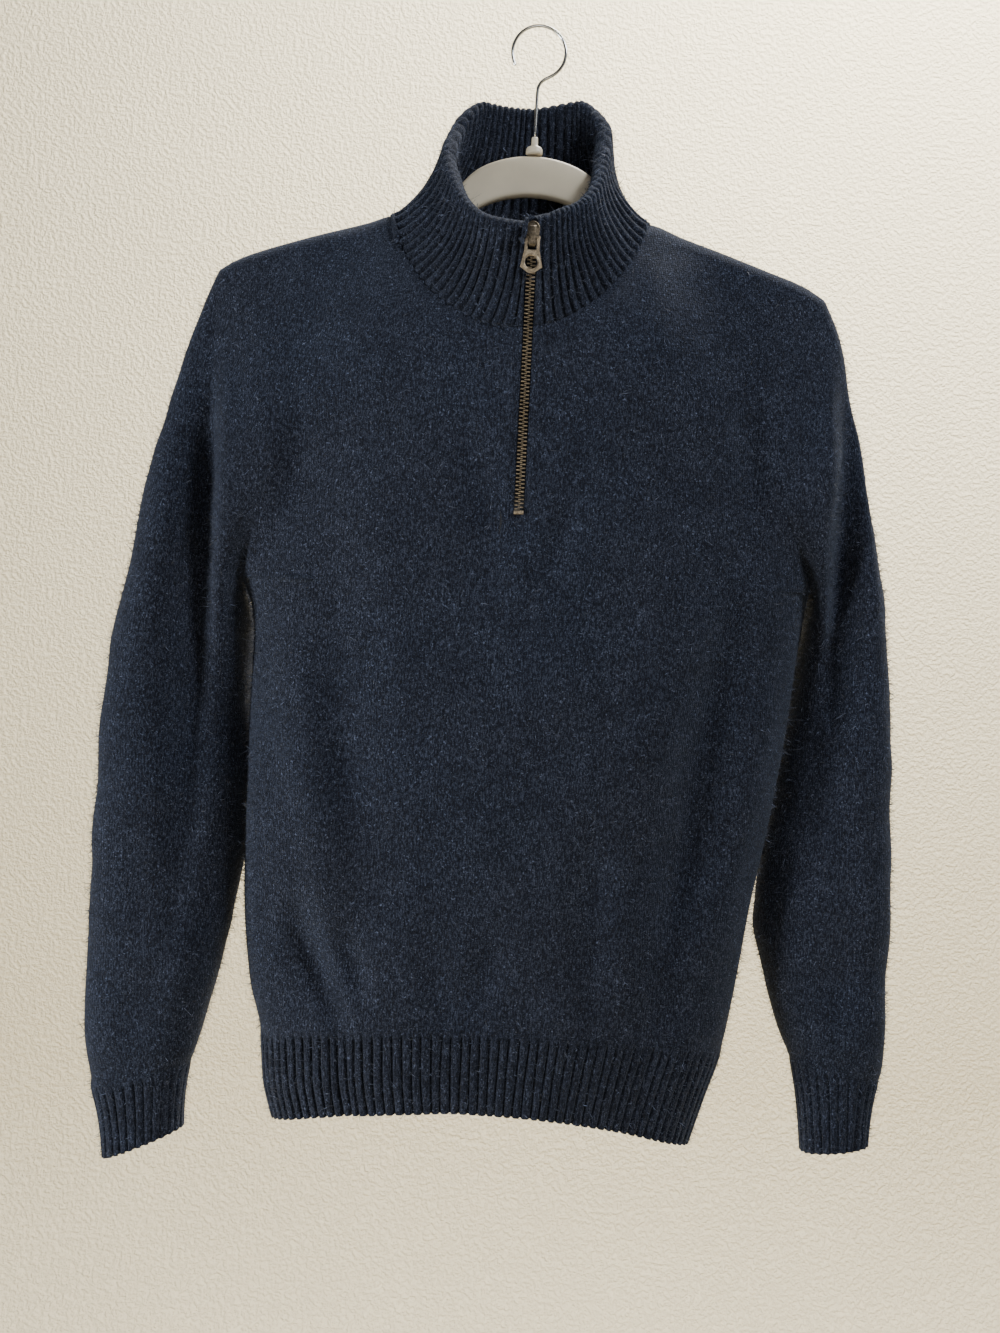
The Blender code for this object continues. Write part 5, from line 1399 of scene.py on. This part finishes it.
def make_boss():
    """The boss at the hanger's middle and its stem, turned round the hook's line."""
    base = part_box("hanger_boss")[0][2]
    profile = ((0.0, 0.0), (0.0057, 0.0), (0.0058, 0.0016), (0.0056, 0.0034), (0.0049, 0.0047),
               (0.0038, 0.0054), (0.0027, 0.0058), (0.0023, 0.0066), (0.0022, 0.0110),
               (0.0019, 0.0118), (0.0, 0.0120))
    bm = bmesh.new()
    verts = [bm.verts.new((radius, 0.0, base + z)) for radius, z in profile]
    edges = [bm.edges.new(pair) for pair in zip(verts, verts[1:])]
    bmesh.ops.spin(bm, geom=verts + edges, cent=(0, 0, 0), axis=(0, 0, 1), angle=2.0 * math.pi,
                   steps=40, use_merge=True)
    bmesh.ops.remove_doubles(bm, verts=bm.verts, dist=1e-6)
    bmesh.ops.recalc_face_normals(bm, faces=bm.faces)
    wide = [v for v in bm.verts if v.co.z < base + 0.0058]
    bmesh.ops.scale(bm, vec=(1.0, 0.84, 1.0), verts=wide)
    return new_piece("hanger_stem", bm, finish("plastic"))


SWEATER_MIDDLE = (0.0, 0.0, -0.40)
LIGHTS = {
    # place, what it points at, width and height, share of the power, colour
    "key_light": ((1.20, -0.98, 0.9), (0.0, 0.0, -0.2), 0.5, 1.05, (0.90, 0.95, 1.0)),
    "low_light": ((-2.0, -0.75, -0.95), SWEATER_MIDDLE, 0.6, 1.9, (0.93, 0.97, 1.0)),
    "front_light": ((0.1, -2.4, -0.3), SWEATER_MIDDLE, 0.7, 0.27, (1.0, 0.99, 0.97)),
    "wall_light": ((1.0, 1.4, 2.3), (0.0, 3.0, -0.7), 1.2, 9.3, (1.0, 0.97, 0.92)),
}


def make_stage(settings):
    """A pale floor that sweeps up into a wall, soft lights and the camera."""
    scene = bpy.context.scene
    bm = bmesh.new()
    floor_z, back_y, bend, half, near = -2.2, 3.0, 0.8, 9.0, -9.0
    line = [(near, floor_z), (back_y - bend, floor_z)]
    line += [(back_y - bend + bend * math.sin(a), floor_z + bend - bend * math.cos(a))
             for a in np.linspace(0.0, math.pi / 2, 13)[1:]]
    line += [(back_y, 6.0)]
    verts = [bm.verts.new((-half, y, z)) for y, z in line]
    edges = [bm.edges.new(pair) for pair in zip(verts, verts[1:])]
    made = bmesh.ops.extrude_edge_only(bm, edges=edges)["geom"]
    moved = [v for v in made if isinstance(v, bmesh.types.BMVert)]
    bmesh.ops.translate(bm, verts=moved, vec=(2.0 * half, 0.0, 0.0))
    bmesh.ops.recalc_face_normals(bm, faces=bm.faces)
    backdrop = new_piece("backdrop", bm, plain_backdrop("pale backdrop", settings.backdrop_colour))

    world = scene.world or bpy.data.worlds.new("soft room")
    scene.world = world
    world.use_nodes = True
    sky = world.node_tree.nodes["Background"]
    sky.inputs["Color"].default_value = (1.0, 0.985, 0.96, 1.0)
    sky.inputs["Strength"].default_value = settings.sky

    for name, (place, towards, size, share, colour) in LIGHTS.items():
        data = bpy.data.lights.new(name, "AREA")
        data.shape = "RECTANGLE"
        data.size = data.size_y = size
        data.energy = settings.key_power * share
        data.color = colour
        light = bpy.data.objects.new(name, data)
        light.location = place
        light.rotation_euler = (Vector(towards) - Vector(place)).to_track_quat("-Z", "Y").to_euler()
        scene.collection.objects.link(light)

    camera = bpy.data.cameras.new("view")
    camera.sensor_fit = "VERTICAL"
    camera.sensor_height = 36.0
    camera.lens = 36.0 * settings.distance / settings.frame_tall
    camera.clip_start = 0.02
    seen_from = bpy.data.objects.new("view", camera)
    seen_from.location = (-0.0056, -settings.distance, -0.442)
    turn = Matrix.Rotation(math.radians(90.0), 4, "X") @ Matrix.Rotation(
        math.radians(settings.tilt), 4, "Z")
    seen_from.rotation_euler = turn.to_euler()
    scene.collection.objects.link(seen_from)
    scene.camera = seen_from


# ---- Operators -----------------------------------------------------------------------------------
CLOTH_PIECES = []         # what the loose fibres stand on


def show(piece, node, body=BODY):
    """A finished piece takes its solid's place on its body."""
    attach(piece, body)
    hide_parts(node)


def hang(piece, slot, node, *rests_on):
    """A finished piece of cloth takes its solid's place and is kept for the loose fibres; rests_on
    is not used.
    """
    show(piece, node)
    CLOTH_PIECES.append(piece)


class SWEATER_OT_panels(bpy.types.Operator):
    """Build the front and the back panel"""

    bl_idname = "sweater.panels"
    bl_label = "Front and back"

    def execute(self, context):
        knit = context.scene.sweater.knit
        for face in ("front", "back"):
            hang(make_panel(face, knit), "knit", face, "hanger")
        return {"FINISHED"}


class SWEATER_OT_sleeves(bpy.types.Operator):
    """Build the two sleeves"""

    bl_idname = "sweater.sleeves"
    bl_label = "Sleeves"

    def execute(self, context):
        knit = context.scene.sweater.knit
        for name in ("left", "right"):
            hang(make_sleeve(name, knit), "knit", "sleeve_" + name, "front_panel", "back_panel")
        return {"FINISHED"}


class SWEATER_OT_ribs(bpy.types.Operator):
    """Build the ribbed cuffs and the two halves of the ribbed hem"""

    bl_idname = "sweater.ribs"
    bl_label = "Cuffs and hem"

    def execute(self, context):
        knit, ribs = context.scene.sweater.knit, context.scene.sweater.ribs
        for name in ("left", "right"):
            hang(make_cuff(name, knit, ribs), "rib", "cuff_" + name, "sleeve_shell_" + name)
        for face in ("front", "back"):
            hang(make_hem(face, knit, ribs), "rib", "hem_" + face, face + "_panel")
        return {"FINISHED"}


class SWEATER_OT_collar(bpy.types.Operator):
    """Build the folded rib collar"""

    bl_idname = "sweater.collar"
    bl_label = "Collar"

    def execute(self, context):
        hang(make_collar(context.scene.sweater.ribs), "rib", "collar", "front_panel", "back_panel")
        return {"FINISHED"}


class SWEATER_OT_fibres(bpy.types.Operator):
    """Add the loose fibres that stand off the wool"""

    bl_idname = "sweater.fibres"
    bl_label = "Loose fibres"

    def execute(self, context):
        piece = make_strays(CLOTH_PIECES, context.scene.sweater.knit)
        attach(piece, BODY)
        return {"FINISHED"}


class SWEATER_OT_zip(bpy.types.Operator):
    """Build the zip: its tape, teeth, bottom stop and slider"""

    bl_idname = "sweater.zip"
    bl_label = "Zip"

    def execute(self, context):
        show(make_teeth(context.scene.sweater.zip), "zip_teeth")
        stop = closed_copy("zip_stop", "chain_stop", finish("brass"))
        show(bevelled(stop, 0.0003), "zip_stop")
        show(make_slider(), "zip_slider")
        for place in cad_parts["zip_tape"].material_slots:
            place.material = finish("tape")
        return {"FINISHED"}


class SWEATER_OT_pull_tab(bpy.types.Operator):
    """Build the pull tab, which turns on its hinge under the bail"""

    bl_idname = "sweater.pull_tab"
    bl_label = "Pull tab"

    def execute(self, context):
        show(make_tab(), "pull_tab", TAB_BODY)
        return {"FINISHED"}


class SWEATER_OT_hanger(bpy.types.Operator):
    """Build the hanger, its boss and its wire hook"""

    bl_idname = "sweater.hanger"
    bl_label = "Hanger"

    def execute(self, context):
        levels = context.scene.sweater.hanger.levels
        arms = finer_copy("hanger", "hanger_arms", finish("plastic"), levels)
        show(arms, "hanger")
        show(make_boss(), "hanger_boss")
        hook = finer_copy("hanger_hook", "wire_hook", finish("wire"), levels)
        show(hook, "hanger_hook")
        return {"FINISHED"}


class SWEATER_OT_stage(bpy.types.Operator):
    """Set up the backdrop, the lights and the camera"""

    bl_idname = "sweater.stage"
    bl_label = "Stage"

    def execute(self, context):
        make_stage(context.scene.sweater.stage)
        return {"FINISHED"}


class SWEATER_PT_panel(bpy.types.Panel):
    """Settings and steps of the sweater"""

    bl_label = "Quarter Zip Sweater"
    bl_idname = "SWEATER_PT_panel"
    bl_space_type = "VIEW_3D"
    bl_region_type = "UI"
    bl_category = "Sweater"

    def draw(self, context):
        layout = self.layout
        sweater = context.scene.sweater
        for title, group in (("Wool", sweater.knit), ("Ribs", sweater.ribs), ("Zip", sweater.zip),
                             ("Hanger", sweater.hanger), ("Stage", sweater.stage)):
            box = layout.box()
            box.label(text=title)
            for name in group.bl_rna.properties.keys():
                if name not in ("rna_type", "name"):
                    box.prop(group, name)
        for operator in OPERATORS:
            layout.operator(operator.bl_idname)


GROUPS = (KnitSettings, RibSettings, ZipSettings, HangerSettings, StageSettings)
OPERATORS = (SWEATER_OT_panels, SWEATER_OT_sleeves, SWEATER_OT_ribs, SWEATER_OT_collar,
             SWEATER_OT_fibres, SWEATER_OT_zip, SWEATER_OT_pull_tab, SWEATER_OT_hanger,
             SWEATER_OT_stage)


class SweaterSettings(bpy.types.PropertyGroup):
    """Everything about the sweater that can be set."""

    knit: PointerProperty(type=KnitSettings, name="Wool", description="The knitted wool")
    ribs: PointerProperty(type=RibSettings, name="Ribs", description="The ribbed bands")
    zip: PointerProperty(type=ZipSettings, name="Zip", description="The zip")
    hanger: PointerProperty(type=HangerSettings, name="Hanger", description="The hanger")
    stage: PointerProperty(type=StageSettings, name="Stage", description="Lights and camera")


FINISHES = {}             # the materials made so far, by name


def finish(name):
    """One of the sweater's materials, made the first time it is asked for."""
    sweater = bpy.context.scene.sweater
    makers = {
        "knit": lambda: wool("navy wool", sweater.knit),
        # The ribbed wool paints shade into the valleys between its ribs.
        "rib": lambda: wool("navy ribbed wool with painted valley shade", sweater.knit, ribbed=True),
        "fibres": lambda: stray_wool(sweater.knit),
        "brass": lambda: old_brass("antique brass", sweater.zip),
        "dark brass": lambda: old_brass("darkened brass", sweater.zip, 0.2, 0.5),
        "teeth": lambda: old_brass("brass teeth", sweater.zip, 1.0),
        "tape": tape_cloth,
        "plastic": lambda: moulded_plastic(sweater.hanger),
        "wire": bright_wire,
    }
    if name not in FINISHES:
        FINISHES[name] = makers[name]()
    return FINISHES[name]


CLASSES = (*GROUPS, SweaterSettings, *OPERATORS, SWEATER_PT_panel)


def register():
    for kind in CLASSES:
        bpy.utils.register_class(kind)
    bpy.types.Scene.sweater = PointerProperty(type=SweaterSettings)


def unregister():
    del bpy.types.Scene.sweater
    for kind in reversed(CLASSES):
        bpy.utils.unregister_class(kind)


def main():
    register()
    for operator in OPERATORS:
        step = operator.bl_idname.split(".")[1]
        getattr(bpy.ops.sweater, step)()


if __name__ == "__main__":
    main()
